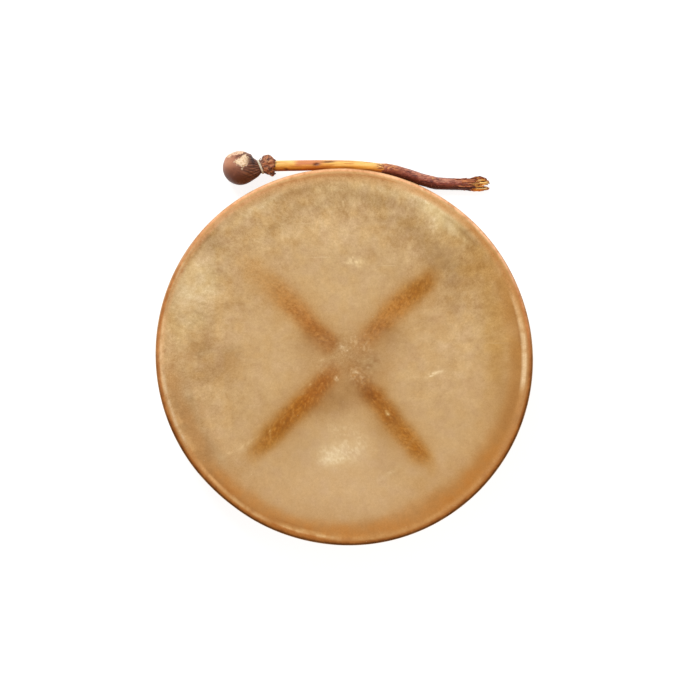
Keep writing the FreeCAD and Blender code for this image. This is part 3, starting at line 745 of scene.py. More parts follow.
# small worn marks: x, y, half length, half width, turn, red, green, blue, strength
LEAST_MARK = 1.4  # narrower marks are painted this wide but fainter
MARKS = numbers("""
-127.97 -106.46 9.68 .86 34 234 200 150 .62
-115.07 -97.86 7.53 .75 36 232 196 146 .5
-79.58 -78.5 6.45 .75 86 224 174 108 .6
-64.52 -63.45 3.23 .86 70 226 180 120 .5
-104.31 -163.46 4.52 1.51 -38 214 166 92 .7
-111.84 -158.08 3.23 1.18 -35 222 178 108 .6
-130.12 -107.54 9.68 .48 30 232 198 150 .42
-124.75 -111.84 7.53 .43 27 230 196 148 .38
-116.14 -103.24 6.45 .43 33 230 196 148 .32
-135.5 -113.99 5.38 .43 30 228 192 142 .3
75.28 -88.18 7.53 .43 72 228 192 146 .32
70.98 -92.48 6.45 .43 66 228 192 146 .3
65.6 -86.03 5.38 .43 80 226 190 142 .26
10.75 102.16 8.6 1.61 4 248 222 170 .95
15.06 98.94 4.3 1.94 -20 246 218 166 .85
6.45 104.31 3.23 1.61 60 248 222 172 .8
8.6 107 3.23 1.4 20 244 216 166 .7
19.36 102.16 3.23 1.4 -10 244 216 166 .6
97.86 -17.21 7.53 2.04 18 246 218 170 .9
93.56 -20.43 4.84 1.61 30 248 222 176 .85
103.24 -15.59 4.3 1.4 10 244 216 168 .7
-1.08 164.54 1.29 3.23 0 236 208 160 .6
-2.15 9.68 3.66 2.37 10 232 204 162 .75
3.23 6.45 2.15 1.29 0 236 208 166 .6
12.9 -16.13 4.84 1.94 -30 230 198 152 .65
19.36 -22.58 3.66 1.4 -35 232 200 156 .5
-7.53 -24.73 2.15 1.51 0 236 208 166 .7
45.17 -60.22 .97 3.23 0 236 206 150 .7
-44.09 -38.71 .86 2.8 0 228 190 130 .5
-119.37 -102.16 21.51 1.08 31 226 190 138 .8
-105.39 -94.64 12.9 .86 35 228 192 140 .55
-23.66 -4.3 1.94 1.61 30 232 200 154 .7
-8.6 -22.58 2.15 1.94 0 238 204 160 .8
25.81 -11.83 1.72 1.29 0 232 202 156 .6
-36.56 -30.11 1.29 1.18 0 232 190 132 .6
47.32 -61.3 1.72 3.01 20 240 208 150 .75
35.49 -35.49 1.29 1.29 0 226 180 124 .5
64.52 75.28 1.51 1.29 0 226 178 108 .6
81.73 84.96 1.72 1.29 0 220 170 100 .6
-75.28 -77.43 1.4 1.18 0 222 170 96 .6
-64.52 -70.98 1.29 1.29 0 224 172 100 .5
-94.64 -77.43 8.6 .86 50 214 172 112 .45
77.43 21.51 4.3 .97 60 226 194 146 .4
75.28 -21.51 5.38 .86 10 228 196 148 .45
-64.52 12.9 4.3 .97 -40 222 188 140 .4
-137.65 -43.02 5.38 1.08 20 224 194 148 .45
139.8 27.96 7.53 1.08 80 222 186 132 .45
161.31 0 9.68 1.08 88 216 176 118 .45
169.91 32.26 8.6 1.08 84 220 184 130 .45
32.26 129.05 6.45 .97 10 226 196 148 .45
-32.26 137.65 7.53 .97 -12 224 194 148 .45
-55.92 124.75 5.38 .86 30 224 194 146 .4
-12.9 -110.77 4.3 2.8 8 244 222 184 .6
-10.75 -106.46 5.38 3.44 30 242 218 176 .6
-9.68 -97.86 2.15 5.38 10 240 214 172 .5
-19.36 -103.24 6.45 1.08 -12 242 218 176 .5
-6.45 -113.99 7.53 1.08 18 242 218 176 .5
-2.15 -101.09 5.38 .97 34 240 214 170 .45
-23.66 -111.84 5.38 .97 28 240 214 170 .4
49.47 -124.75 9.68 .86 28 232 204 160 .5
55.92 -120.44 7.53 .75 40 232 204 160 .45
40.87 -131.2 6.45 .75 20 232 204 160 .4
67.75 158.08 3.23 1.08 10 228 198 150 .55
75.28 153.78 2.15 .97 0 228 198 150 .5
-126.9 -102.16 19.36 .59 33 226 190 136 .6
-79.58 -82.81 .65 6.45 4 222 176 112 .5
-38.71 -25.81 7.53 .65 42 220 178 118 .5
83.88 -164.54 12.9 .86 -12 206 162 104 .45
101.09 -163.46 7.53 1.08 20 222 174 110 .6
-100.01 -162.39 5.38 1.29 -40 216 162 92 .6
-95.71 -167.76 2.15 1.51 0 234 198 132 .75
-105.39 -159.16 5.38 1.08 -25 150 98 46 .5
-116.14 139.8 5.38 1.08 40 224 196 150 .4
-88.18 161.31 5.38 1.29 30 228 200 156 .5
-64.52 172.06 5.38 .97 18 222 192 146 .4
111.84 144.1 6.45 1.51 -35 236 214 170 .5
98.94 152.71 5.38 1.29 -30 236 214 170 .5
129.05 126.9 4.3 1.29 -50 230 206 160 .45
-161.31 75.28 6.45 1.61 60 230 204 158 .45
-175.29 62.37 6.45 1.72 70 232 206 160 .5
-149.48 55.92 6.45 1.29 -15 166 130 84 .5
-157.01 47.32 8.6 .97 -20 160 124 80 .45
""")

# dim patches round the middle of the head, painted shade beside the arms of the cross: x, y,
# radius, strength
DUSK = numbers("""
16.13 -25.81 13.98 .15
-22.58 18.28 9.68 .09
20.43 10.75 10.75 .14
-13.98 9.68 9.68 .07
6.45 2.15 9.68 .04
43.02 27.96 12.9 .08
-12.9 -46.24 15.06 .1
-36.56 -54.85 11.83 .08
51.62 -64.52 9.68 .08
8.6 -47.32 12.9 .06
-39.79 19.36 10.75 .06
-6.45 15.06 8.6 .06
23.66 -40.87 10.75 .07
59.15 23.66 11.83 .06
18.28 -8.6 8.6 .05
-62.37 -75.28 15.06 .05
""")
PALE = numbers("""
15.06 15.06 9.68 1
23.66 4.3 10.75 .45
11.83 -18.28 7.53 1
-3.23 8.6 8.6 .6
21.51 -25.81 9.68 .5
-23.66 -12.9 7.53 .4
""")
# darker patches by the hub, painted shade beside the arms of the cross: x, y, radius, strength
DEEP = numbers("""
31.19 -6.45 9.68 1
-23.66 17.21 10.75 .8
18.28 -21.51 11.83 .9
22.58 18.28 10.75 .7
-16.13 -8.6 9.68 .5
""")

# smoked or rubbed patches of the margin: bearing, half angle, soft angle, radius,
# radial width, darkening
MARGIN = numbers("""
48 3 7 186.58 3.23 .17
60 3 7 194.11 3.76 -.2
108 3 6 183.89 3.76 .15
144 4 8 194.11 3.23 .18
345 4 7 187.12 6.45 .07
204 4 7 191.42 3.23 -.13
252 4 7 191.42 2.69 .12
228 5 8 193.03 3.23 .12
358 5 6 192.5 2.37 .1
12 4 5 177.44 8.6 -.03
11 3 6 191.42 2.69 .12
97 3 6 186.04 4.3 .07
124 8 7 191.42 3.23 .05
240 3 7 194.65 2.15 .13
48 3 7 150.56 12.9 .07
168 4 8 152.71 15.06 .06
""")

# rubbed crescents on the shoulder: bearing, half angle, radius, radial width,
# red, green, blue, strength
CRESCENTS = numbers("""
179 9 196.69 1.51 232 188 136 .85
164 8 194.65 1.72 214 170 118 .5
5 12 194 2.37 236 200 152 .95
12 7 199.38 1.08 196 118 62 .6
258 6 194.86 1.94 232 188 130 .8
222 2.5 195.08 1.72 228 174 114 .7
285 9 197.01 1.08 212 158 94 .4
250 12 197.01 1.4 176 102 38 .7
236 6 196.15 1.51 218 172 116 .7
196 10 195.19 1.72 220 186 142 .75
296 20 195.51 1.29 206 150 86 .5
128 12 195.94 1.51 222 168 122 .5
62 10 192.71 1.94 222 182 132 .45
104 12 202.61 1.18 246 196 152 .6
158 12 202.82 1.18 226 182 146 .6
135 9 199.59 1.51 206 142 88 .5
""")


def sector(bearings, middle, half, soft):
    """1 within half a span of a bearing, fading over the soft angle; degrees."""
    away = np.abs((bearings - middle + 180) % 360 - 180)
    return smooth(half + soft, half, away)


def busyness(x, y, radius):
    """How mottled the hide is: most near the edge, at +Y and -X."""
    edge = smooth(75.28, 177.44, radius)
    side = .20 + .80 * smooth(-129.05, 64.52, y - .35 * x)
    middle = .30 * smooth(-102.16, -37.64, y) * (1 - edge)
    busy = np.clip(.06 + middle + .92 * edge * side, 0, 1)
    # two worn pale patches are calmer than the hide round them
    dx, dy = x - 107.54, y - 151.63
    calm = np.exp(-(((.77 * dx - .64 * dy) / 27.96) ** 2) - ((.64 * dx + .77 * dy) / 11.83) ** 2)
    calm = np.maximum(calm, .8 * spot(x, y, -161.31, 79.58, 16.13, 27.96))
    return busy * (1 - .5 * calm)


def paint_cross(tint, x, y, waver_x, waver_y):
    """Paints the cross as painted shadow; returns how gritty the hide is and how strong the shadow
    is.
    """
    grit, arm_shadow = np.zeros(len(x)), np.zeros(len(x))
    # painted shadow over the hub of the cross, where the ring and the wraps meet
    paint(tint, ((182, 138, 86), .72 * spot(x, y, 4.3, -8.6, 40.87, 35.49)))
    patchy = 1 + .16 * fbm((x / 11, y / 11, 0), 3, 67)
    speck = 1 + .11 * fbm((x / 1.9, y / 1.9, 0), 3, 61)
    for start, end, start_rgb, end_rgb, half, strengths, course, shifts in CROSS:
        dx, dy = x + 2.37 * waver_y - start[0], y + 2.37 * waver_x - start[1]
        step = np.subtract(end, start)
        share = (dx * step[0] + dy * step[1]) / (step @ step)
        aside = (dx * step[1] - dy * step[0]) / math.hypot(*step) + station(share, course)
        strength = station(share, strengths)
        inside = np.clip(share, 0, 1)
        width = half * station(share, course, 2) * (.95 + .06 * inside + .10 * waver_x)
        core = np.exp(-(np.abs(aside) / width) ** 2.5) * patchy
        ends = np.clip(np.minimum(share * 4 + .5, (1.15 - share) * 4), 0, 1)
        halo = bell(aside, 21.51) * ends
        rgb = start_rgb + np.subtract(end_rgb, start_rgb) * inside[:, None]
        rgb = rgb + np.stack([station(share, shifts, column) for column in (1, 2, 3)], 1)
        # each arm: a soft painted shade round it, and its painted shadow along the middle
        paint(
            tint,
            ((184, 137, 80), .60 * halo * np.clip(strength + .1, 0, 1)),
            (rgb * speck[:, None], np.clip(core * strength * .97, 0, 1)),
        )
        grit = np.maximum(grit, .55 * halo + .40 * core * strength)
        arm_shadow = np.maximum(arm_shadow, core * strength)
    return np.maximum(grit, spot(x, y, 0, 0, 35.49, 35.49)), arm_shadow


def paint_middle(tint, x, y, arm_shadow):
    """Patches round the middle, painted shade beside the cross's arms, a pale bloom at -Y, and
    knots in the cross's painted shadow.
    """

    def puffs(table):
        return sum(strength * spot(x, y, cx, cy, r, r) for cx, cy, r, strength in table)

    coarse = fbm((x / 4.2, y / 4.2, 0), 4, 71)
    fine = fbm((x / 2.4, y / 2.4, 5), 3, 73)
    pale, deep = np.clip(puffs(PALE), 0, 1), np.clip(puffs(DEEP), 0, 1)
    hub = spot(x, y, 0, 0, 32.26, 32.26)
    # painted shade round the middle, beside the arms
    tone(tint, -puffs(DUSK) * (1 + .5 * coarse))
    bloom = (
        spot(x, y, -11.83, -106.46, 16.13, 8.6)
        + .7 * spot(x, y, 9.68, -94.64, 13.98, 12.9)
        + .35 * spot(x, y, -6.45, -77.43, 15.06, 6.45)
    )
    bloom_grain = fbm((x / 2.2, y / 1.5, 12), 3, 81)
    knots = fbm((x / 2.2, y / 2.2, 9), 3, 75)
    paint(
        tint,
        # painted shade in the deep patches here and below, and in the olive spot at x 29
        ((186, 148, 100), .45 * deep),
        ((158, 122, 74), .40 * spot(x, y, 29.04, -7.53, 9.68, 9.68) * (.8 + .8 * coarse)),
        ((210, 170, 122), .30 * pale),
        ((228, 196, 150), .44 * pale * smooth(.08, .40, fine)),
        ((156, 106, 60), .42 * deep * smooth(0, .40, coarse)),
        ((216, 182, 134), .10 * hub * smooth(.14, .42, fine)),
        ((244, 220, 176), .70 * bloom * smooth(.02, .34, bloom_grain)),
        ((140, 82, 26), .34 * arm_shadow * smooth(.10, .45, knots)),
        ((206, 146, 76), .42 * arm_shadow * smooth(.14, .45, -knots)),
    )


def paint_marks(tint, x, y):
    for cx, cy, long, wide, turn, *rgb, strength in MARKS:
        reach = 3 * (long + wide)
        near = (np.abs(x - cx) < reach) & (np.abs(y - cy) < reach)
        if not near.any():
            continue
        painted = max(wide, LEAST_MARK)
        shape = spot(x[near], y[near], cx, cy, long, painted, turn)
        grain = .6 + .7 * noise((x[near] / 1.6, y[near] / 1.6, 0), 77)
        part = tint[near]
        weight = strength * (wide / painted) ** .5 * shape * grain
        paint(part, (rgb, np.clip(weight, 0, 1)))
        tint[near] = part


def paint_margin(tint, radius, bearing, waver_x, waver_y, mottle):
    """Stains and wear of the flat hide near the hoop; bearings in degrees."""
    lobe = partial(sector, bearing)
    # stained band along the -Y edge, widest towards +X
    wide = 144.10 + 6.45 * waver_x
    narrow = 172.06 - 6.45 * lobe(308, 14, 36) - 6.45 * lobe(212, 10, 22) + 4.3 * waver_x
    band_rgb = np.array([190, 136, 77]) * (1 + .09 * mottle)[:, None]
    low = lobe(276, 46, 24) * smooth(175.29, 191.42, radius + 5.38 * waver_y)
    right = smooth(172.06, 184.97, radius) * smooth(193.57, 187.12, radius)
    paint(
        tint,
        ((190, 145, 93), lobe(285, 92, 34) * smooth(wide, wide + 43.02, radius) * .55),
        (band_rgb, lobe(286, 84, 28) * smooth(narrow, narrow + 18.28, radius) * .90),
        ((200, 150, 94), lobe(99, 20, 14) * smooth(184.97, 193.57, radius) * .6),
        ((180, 130, 72), lobe(352, 20, 22) * right * .5),
        ((190, 122, 52), np.clip(low * (.52 + .45 * mottle), 0, .85)),
    )
    # sector, radii over which it fades in and out, shift of red, green, blue
    for span, fade_in, fade_out, shift in (
        ((350, 40, 22), (146.25, 163.46), (195.72, 189.27), (-2, -4, -7)),
        ((207, 11, 9), (163.46, 174.21), (195.72, 191.42), (-8, -2, 3)),
        ((30, 26, 12), (150.56, 163.46), (197.87, 191.42), (-2, -3, -6)),
    ):
        weight = lobe(*span) * smooth(*fade_in, radius) * smooth(*fade_out, radius)
        tint += np.array(shift) * weight[:, None]
    for middle, half, soft, mid_r, width, dark in MARGIN:
        weight = lobe(middle + 3 * waver_y, half, soft)
        weight = weight * bell(radius - mid_r + 1.08 * waver_x, width)
        tone(tint, -dark * weight * (1 + .6 * mottle))
    angle = np.radians(bearing)
    chips = fbm((np.cos(angle) * 34, np.sin(angle) * 34, radius * .204575), 4, 91, .6)
    edge = bell(radius - 195.94, 3.23) * (.5 + .5 * lobe(200, 90, 60))
    line = bell(radius - 194.11 - .86 * waver_x, 1.61)
    paint(
        tint,
        ((226, 180, 120), .50 * edge * smooth(.14, .42, chips)),
        ((150, 90, 44), .45 * edge * smooth(.14, .42, -chips)),
        ((214, 156, 92), np.clip(lobe(295, 60, 30) * line * (.28 + .3 * mottle), 0, 1)),
    )


def paint_rim(tint, x, y, radius, bearing, waver_x, waver_y, mottle, fine, patch):
    """The bend over the hoop: peach at +Y as painted highlight, brown at -Y as painted shade, over
    an orange hide tone, with rubbed crescents.
    """
    lobe = partial(sector, bearing)
    # sectors at +Y and -Y: painted highlight where light falls on the rim, painted shade where it
    # turns away
    top, shaded_bottom = lobe(80, 46, 40), lobe(275, 66, 26)
    bend = bell(radius - 196.37 + .65 * waver_y, 1.40) * (.55 + .25 * mottle)
    bend = bend * (1 - .75 * lobe(59, 9, 8))
    glow = lobe(59, 8, 8) * smooth(190.35, 194.65, radius) * smooth(199.49, 196.80, radius)
    rim = plain((186, 120, 66), len(x))
    paint(rim, ((232, 166, 116), top), ((170, 100, 42), .9 * shaded_bottom))
    tone(rim, .17 * mottle + .15 * fine + .09 * patch)
    green, blue = 1 - .06 * shaded_bottom + .06 * top, 1 - .2 * shaded_bottom + .16 * top
    # the rim's outside is painted darker at -Y as painted shade and lighter at +Y as painted
    # highlight
    outside_with_painted_light = rim * (.81 - .31 * shaded_bottom + .19 * top)[:, None]
    outside_with_painted_light = outside_with_painted_light * np.stack([np.ones_like(x), green, blue], 1)
    onto_rim = smooth(197.44 + 1.4 * top, 199.81 + 1.18 * top, radius + .54 * waver_x)
    paint(
        tint,
        ((188, 128, 74), np.clip(bend * (1 + .5 * top), 0, .9)),
        ((238, 190, 146), np.clip(glow * (.60 + .4 * mottle), 0, 1)),
        (rim, onto_rim),
        (outside_with_painted_light, smooth(199.81, 202.07, radius)),
    )
    for middle, half, mid_r, width, *rgb, strength in CRESCENTS:
        worn = .62 + .5 * smooth(-.35, .25, fbm((x / 5.5, y / 5.5, middle), 4, 79))
        away = np.abs(radius - mid_r - .86 * waver_x - .43 * fine) / (1.12 * width)
        weight = lobe(middle, half, 6) * np.exp(-(away**3.4)) * strength * worn
        paint(tint, (rgb, np.clip(weight, 0, 1)))
    brown = lobe(40, 24, 12) * smooth(190.88, 194.11, radius) * smooth(200.56, 197.34, radius)
    paint(tint, ((194, 134, 70), np.clip(brown * (.62 + .3 * mottle), 0, .85)))


def head_tint(x, y, radius):
    """Colour of the head and the rim, how busy it is and how gritty."""
    bearing = np.degrees(np.arctan2(y, x)) % 360
    at = coords(x / 30, y / 30)
    waver_x, waver_y = fbm(at * 1.6, 4, 5), fbm(at * 1.6 + 40, 4, 9)
    tint = plain((206, 168, 118), len(x))
    tint += np.array([-4, -3, -2]) * smooth(-64.52, 161.31, y)[:, None]
    tint += np.array([2, 1, 3]) * smooth(-43.02, -161.31, y)[:, None]
    for *shape, red, green, blue, strength in CLOUDS:
        away = ellipse(x + 7.53 * waver_x, y + 7.53 * waver_y, *shape)
        paint(tint, ((red, green, blue), strength * np.exp(-away * .85)))
    busy = busyness(x, y, radius)
    right = smooth(10.75, 102.16, x)
    mottle = fbm(at * 3.1 + 11, 5, 21, .62)
    fine = fbm(at * 9.0 + 5, 4, 27, .7)
    tone(tint, ((.095 + .070 * right) * mottle + .118 * fine) * busy)
    patch = smooth(-.05, .09, fbm(at * 2.3 + 60, 5, 35, .58)) - .5
    tone(tint, (.032 + .022 * right) * patch * (.06 + .94 * busy))
    warm = fbm(at * 2.9 + 80, 4, 37)
    warmer = smooth(.02, .40, warm) * (.25 + .75 * busy)
    tint += np.array([2.0, -.5, -5]) * warmer[:, None]
    tint += np.array([-1, -1, 2]) * smooth(.02, .40, -warm)[:, None]
    olive = smooth(.05, .5, fbm(at * 2.2 + 3, 4, 33)) * busy
    tint += np.array([-9, -11, -12]) * olive[:, None]
    grit, arm_shadow = paint_cross(tint, x, y, waver_x, waver_y)
    paint_middle(tint, x, y, arm_shadow)
    paint_marks(tint, x, y)
    paint_margin(tint, radius, bearing, waver_x, waver_y, mottle)
    paint_rim(tint, x, y, radius, bearing, waver_x, waver_y, mottle, fine, patch)
    busy = busy * (1 - .6 * smooth(193.57, 200.02, radius))
    grit = np.clip(np.maximum(grit, .20 + .75 * busy), 0, 1)
    return tint, np.clip(busy, 0, 1), grit * (1 - .5 * smooth(196.80, 201.10, radius))


def side_tint(x, y, z):
    """Skirt and flap: rawhide with drips, tide marks, rubbed ridges and specks."""
    arc = np.arctan2(y, x) * ARC_R
    broad = fbm((arc / 34, z / 60, 0), 4, 101)
    drips = fbm((arc / 6, z / 34, 0), 4, 105)
    fine = fbm((arc / 2.2, z / 16, 0), 3, 107)
    tide = fbm((arc / 15, z / 12, 4), 4, 111)
    speck = fbm((arc / 1.7, z / 3.0, 8), 3, 113)
    tint = plain((196, 146, 94), len(x))
    tone(tint, .15 * broad + .12 * drips + .06 * fine)
    paint(
        tint,
        ((206, 168, 118), smooth(30, 2, z) * .35),
        ((168, 112, 62), smooth(.15, .6, broad) * .45),
        ((150, 98, 52), bell(tide, .05) * smooth(0, .3, broad + .4 * drips) * .38),
        ((222, 184, 134), smooth(.16, .42, tide) * .40),
        ((138, 88, 46), .20 * smooth(.20, .46, speck)),
        ((226, 192, 144), .16 * smooth(.22, .46, -speck)),
    )
    return tint


# ---------------------------------------------------------------- hide
# ring sizes of the flat head: below this radius, this many vertices
OUTER_RINGS = ((4, 32), (9, 64), (19, 128), (46, 256), (math.inf, 512))
INNER_RINGS = ((12, 32), (30, 64), (62, 128), (math.inf, 256))


def hide_profile(inner):
    """(radius, z, vertices) rings from the centre of the head to the flap's edge."""
    rings = []
    head_z = DEPTH - (HEAD_THICK if inner else 0.0)
    radius = 5.0 if inner else 1.5
    steps = INNER_RINGS if inner else OUTER_RINGS
    while radius < 148:
        count = next(count for limit, count in steps if radius < limit)
        rings.append((radius, head_z, count))
        radius += 5.0 if inner else 1.2 if radius < 38 else 2.15
    side_count, top_count = 512, 512 if inner else 1024
    while radius < HIDE_R - RIM_R - 1.0:
        rings.append((radius, head_z, 256 if (inner and radius < 172) else top_count))
        radius += 5.0 if inner else 2.6
    bend = RIM_R - (1.35 if inner else 0.0)
    bend_steps = 5 if inner else 9
    for i in range(bend_steps + 1):
        angle = math.pi / 2 * i / bend_steps
        rings.append((HIDE_R - RIM_R + bend * math.sin(angle),
                      DEPTH - RIM_R + bend * math.cos(angle), top_count))
    side_r = HIDE_R - (SKIRT_THICK if inner else 0.0)
    flap_z = SKIRT_THICK if inner else 0.0
    rows = [(side_r, z) for z in (np.linspace(50, 6, 8) if inner else np.linspace(53, 5, 17))]
    if inner:
        rows += [(side_r, 2.4), (side_r - .5, 1.4)]
    else:
        rows += [(side_r, 2.6), (side_r - .25, 1.1), (side_r - 1.0, .25), (side_r - 2.2, .02)]
    rows += [(198.2, flap_z), (FLAP_OUTER, flap_z + (.05 if inner else 0.0))]
    for i in range(1, 10):
        share = i / 9
        rows.append((FLAP_OUTER + (FLAP_INNER - FLAP_OUTER) * share, flap_z + FLAP_RISE * share))
    return rings + [(r, z, side_count) for r, z in rows]


def polar_surface(rings, flip):
    """Vertices and faces of a disc of rings, and where the last ring starts."""
    verts, starts = [np.array([[0.0, 0.0, rings[0][1]]])], []
    total = 1
    for radius, z, count in rings:
        starts.append((total, count))
        total += count
        bearing = np.arange(count) * TAU / count
        reach = radius + oval(bearing) * min(1.0, radius / ARC_R)
        ring = [reach * np.cos(bearing), reach * np.sin(bearing), np.full(count, z)]
        verts.append(np.stack(ring, 1))
    first, count = starts[0]
    faces = [(0, first + j, first + (j + 1) % count) for j in range(count)]
    for (a, a_count), (b, b_count) in zip(starts, starts[1:]):
        if a_count == b_count:
            faces += band(a, b, a_count, flip=True)
        elif a_count == 2 * b_count:
            for j in range(b_count):
                k = (j + 1) % b_count
                here, half, after = a + 2 * j, a + 2 * j + 1, a + (2 * j + 2) % a_count
                faces += [(b + j, half, here), (b + j, b + k, half), (b + k, after, half)]
        else:
            for j in range(a_count):
                k = (j + 1) % a_count
                here, half, after = b + 2 * j, b + 2 * j + 1, b + (2 * j + 2) % b_count
                faces += [(a + j, here, half), (a + j, half, a + k), (half, after, a + k)]
    if flip:
        faces = [tuple(reversed(face)) for face in faces]
    return np.vstack(verts), faces, starts[-1][0]


def angle_from(bearing, other):
    """Signed difference of two bearings in radians, within half a turn."""
    return (bearing - other + math.pi) % TAU - math.pi


def push_out(verts, bearing, amount):
    verts[:, 0] += amount * np.cos(bearing)
    verts[:, 1] += amount * np.sin(bearing)


def shape_head(verts, ring_r, ring_z):
    """The stretched head is never quite flat."""
    head = (ring_z > 50) & (ring_r < 196)
    x, y = verts[:, 0], verts[:, 1]
    rise = .22 * fbm((x / 70, y / 70, 0), 3, 201)
    rise += .05 * fbm((x / 9, y / 9, 0), 3, 205)
    verts[:, 2] += np.where(head, (rise - .12) * smooth(196, 176, ring_r), 0)


def shape_skirt(verts, ring_r, ring_z, bearing):
    """Slack pleats towards the lace holes, but none where the beater lies close."""
    z = verts[:, 2]
    pleat = np.zeros(len(verts))
    for hole in HOLE_BEARINGS:
        arc = angle_from(bearing, hole) * ARC_R
        pleat += .55 * bell(arc, 5.5) - .30 * bell(arc, 13.0)
    beater = np.abs(bearing - math.radians(88))
    free = 1 - smooth(math.radians(24), math.radians(10), beater)
    slack = fbm((bearing * ARC_R / 17, z / 50, 0), 3, 211)
    push = .28 + pleat * smooth(34, 4, z) + .30 * slack * smooth(58, 40, z)
    push = np.clip(push * smooth(58, 44, z) * free, 0.0, 1.4)
    push_out(verts, bearing, np.where((ring_r > 201) & (ring_z < 58), push, 0))


def shape_shoulder(verts, ring_r, ring_z, bearing, is_outer):
    """The outer hide is fuller at one side of the hoop and dented at others."""
    degrees = np.degrees(bearing) % 360
    # height, middle and width of each swelling, in degrees round the hoop
    swellings = ((.65, 285, 24), (-.75, 229, 10), (-.3, 168, 18), (-.3, 20, 12))
    bulge = sum(size * bell(degrees - middle, width) for size, middle, width in swellings)
    fade = smooth(186, 199, ring_r) * smooth(40, 54, ring_z) * is_outer
    push_out(verts, bearing, bulge * fade)


def shape_flap(verts, flap, inward, bearing):
    """Drawn in and up at each hole, slack and wavy between."""
    arc = bearing * LACING_R
    pull = np.max([
        -1 + 2 * np.exp(-np.abs(angle_from(bearing, hole) * LACING_R / 9.5) ** 1.7)
        for hole in HOLE_BEARINGS
    ], axis=0)
    wave = fbm((arc / 12, 0, 0), 3, 221)
    out = np.where(flap, (-1.6 * pull + 2.6 + 1.1 * wave) * inward**1.6, 0)
    push_out(verts, bearing, out)
    ruck = fbm((arc / 4.6, inward * .6, 0), 3, 223)
    lift = (.44 * (1 - pull) + .35 * wave + .42 * ruck) * inward**1.3
    verts[:, 2] += np.where(flap, lift, 0) - out * .313 * inward


def cut_holes(verts, faces, outer_count):
    """Cuts the lace holes through both faces of the flap and walls them."""
    centres = np.array([verts[list(face), :2].mean(0) for face in faces])
    tops = np.array([verts[list(face), 2].max() for face in faces])
    reach = np.hypot(centres[:, 0], centres[:, 1])
    low = np.where((tops < 12) & (reach > 172) & (reach < 194))[0]
    cut = np.zeros(len(faces), bool)
    for x, y in HOLE_XY:
        cut[low[np.hypot(centres[low, 0] - x, centres[low, 1] - y) < HOLE_R]] = True
    kept = [face for face, gone in zip(faces, cut) if not gone]
    # snap the holes' rims round
    uses = Counter(
        (min(a, b), max(a, b)) for face in kept for a, b in zip(face, face[1:] + face[:1])
    )
    hole_of = {}
    for i in {i for edge, times in uses.items() if times == 1 for i in edge}:
        away = np.hypot(HOLE_XY[:, 0] - verts[i, 0], HOLE_XY[:, 1] - verts[i, 1])
        hole = int(away.argmin())
        if away[hole] < 6.0:
            spoke = verts[i, :2] - HOLE_XY[hole]
            spoke = spoke / (np.linalg.norm(spoke) + 1e-9) * HOLE_R
            verts[i, :2] = HOLE_XY[hole] + spoke
            hole_of[i] = hole
    # wall each hole, pairing the two faces' rims by angle
    for hole, centre in enumerate(HOLE_XY):
        rims = []
        for outer in (True, False):
            ids = [i for i, own in hole_of.items() if own == hole and (i < outer_count) == outer]
            angles = np.arctan2(verts[ids, 1] - centre[1], verts[ids, 0] - centre[0])
            order = np.argsort(angles)
            rims.append(([ids[j] for j in order], angles[order]))
        (top, top_angles), (under, under_angles) = rims
        i = j = 0
        while i < len(top) or j < len(under):
            here, below = top[i % len(top)], under[j % len(under)]
            if j >= len(under) or (i < len(top) and top_angles[i] <= under_angles[j]):
                kept.append((here, top[(i + 1) % len(top)], below))
                i += 1
            else:
                kept.append((below, here, under[(j + 1) % len(under)]))
                j += 1
    return kept


def build_hide():
    profiles = hide_profile(False), hide_profile(True)
    outer, outer_faces, outer_edge = polar_surface(profiles[0], False)
    inner, inner_faces, inner_edge = polar_surface(profiles[1], True)
    outer_count = len(outer)
    verts = np.vstack([outer, inner])
    faces = outer_faces + [tuple(i + outer_count for i in face) for face in inner_faces]
    ring_r, ring_z = [], []
    for rings in profiles:
        for radius, z, count in [(0.0, rings[0][1], 1)] + rings:
            ring_r.append(np.full(count, radius))
            ring_z.append(np.full(count, z))
    ring_r, ring_z = np.concatenate(ring_r), np.concatenate(ring_z)
    is_outer = np.arange(len(verts)) < outer_count
    bearing = np.arctan2(verts[:, 1], verts[:, 0])
    flap = (ring_r < FLAP_OUTER + .5) & (ring_z < 12) & (ring_r > 170)
    inward = np.clip((FLAP_OUTER - ring_r) / (FLAP_OUTER - FLAP_INNER), 0, 1)

    shape_head(verts, ring_r, ring_z)
    shape_skirt(verts, ring_r, ring_z, bearing)
    shape_shoulder(verts, ring_r, ring_z, bearing, is_outer)
    shape_flap(verts, flap, inward, bearing)
    verts[:, 2] = np.maximum(verts[:, 2], np.where(is_outer, 0.0, 1.0))
    kept = cut_holes(verts, faces, outer_count)
    kept += band(outer_edge, outer_count + inner_edge, profiles[0][-1][2], flip=True)
    used = np.zeros(len(verts), bool)
    for face in kept:
        used[list(face)] = True
    renumber = np.cumsum(used) - 1
    kept = [tuple(int(renumber[i]) for i in face) for face in kept]

    x, y, z = verts.T
    tint, busy, grit = head_tint(x, y, ring_r)
    waver = .8 * fbm((bearing * ARC_R / 9, 0, 0), 3, 307)
    on_side = smooth(61.0, 57.2, ring_z + waver) * (ring_r > 150)
    paint(tint, (side_tint(x, y, z), on_side))
    busy = busy * (1 - on_side) + .45 * on_side
    grit = grit * (1 - on_side) + .5 * on_side
    matte = smooth(196.5, 201.5, ring_r) * smooth(44, 54, ring_z)
    # the inner face is paler and cleaner
    pale = plain((204, 166, 116), len(verts)) * (1 + .06 * fbm(verts.T / 28, 4, 301))[:, None]
    tint = np.where(is_outer[:, None], tint, pale)
    busy, grit = np.where(is_outer, busy, .35), np.where(is_outer, grit, .3)
    paint(tint, ((176, 124, 72), np.where(flap & is_outer, .35 * inward, 0)))
    add_mesh(
        "drumhead_hide", verts[used], kept, RAWHIDE, "drum", "rawhide_head", "drumhead",
        tint[used], busy=busy[used], grit=grit[used], matte=matte[used],
    )


build_hide()

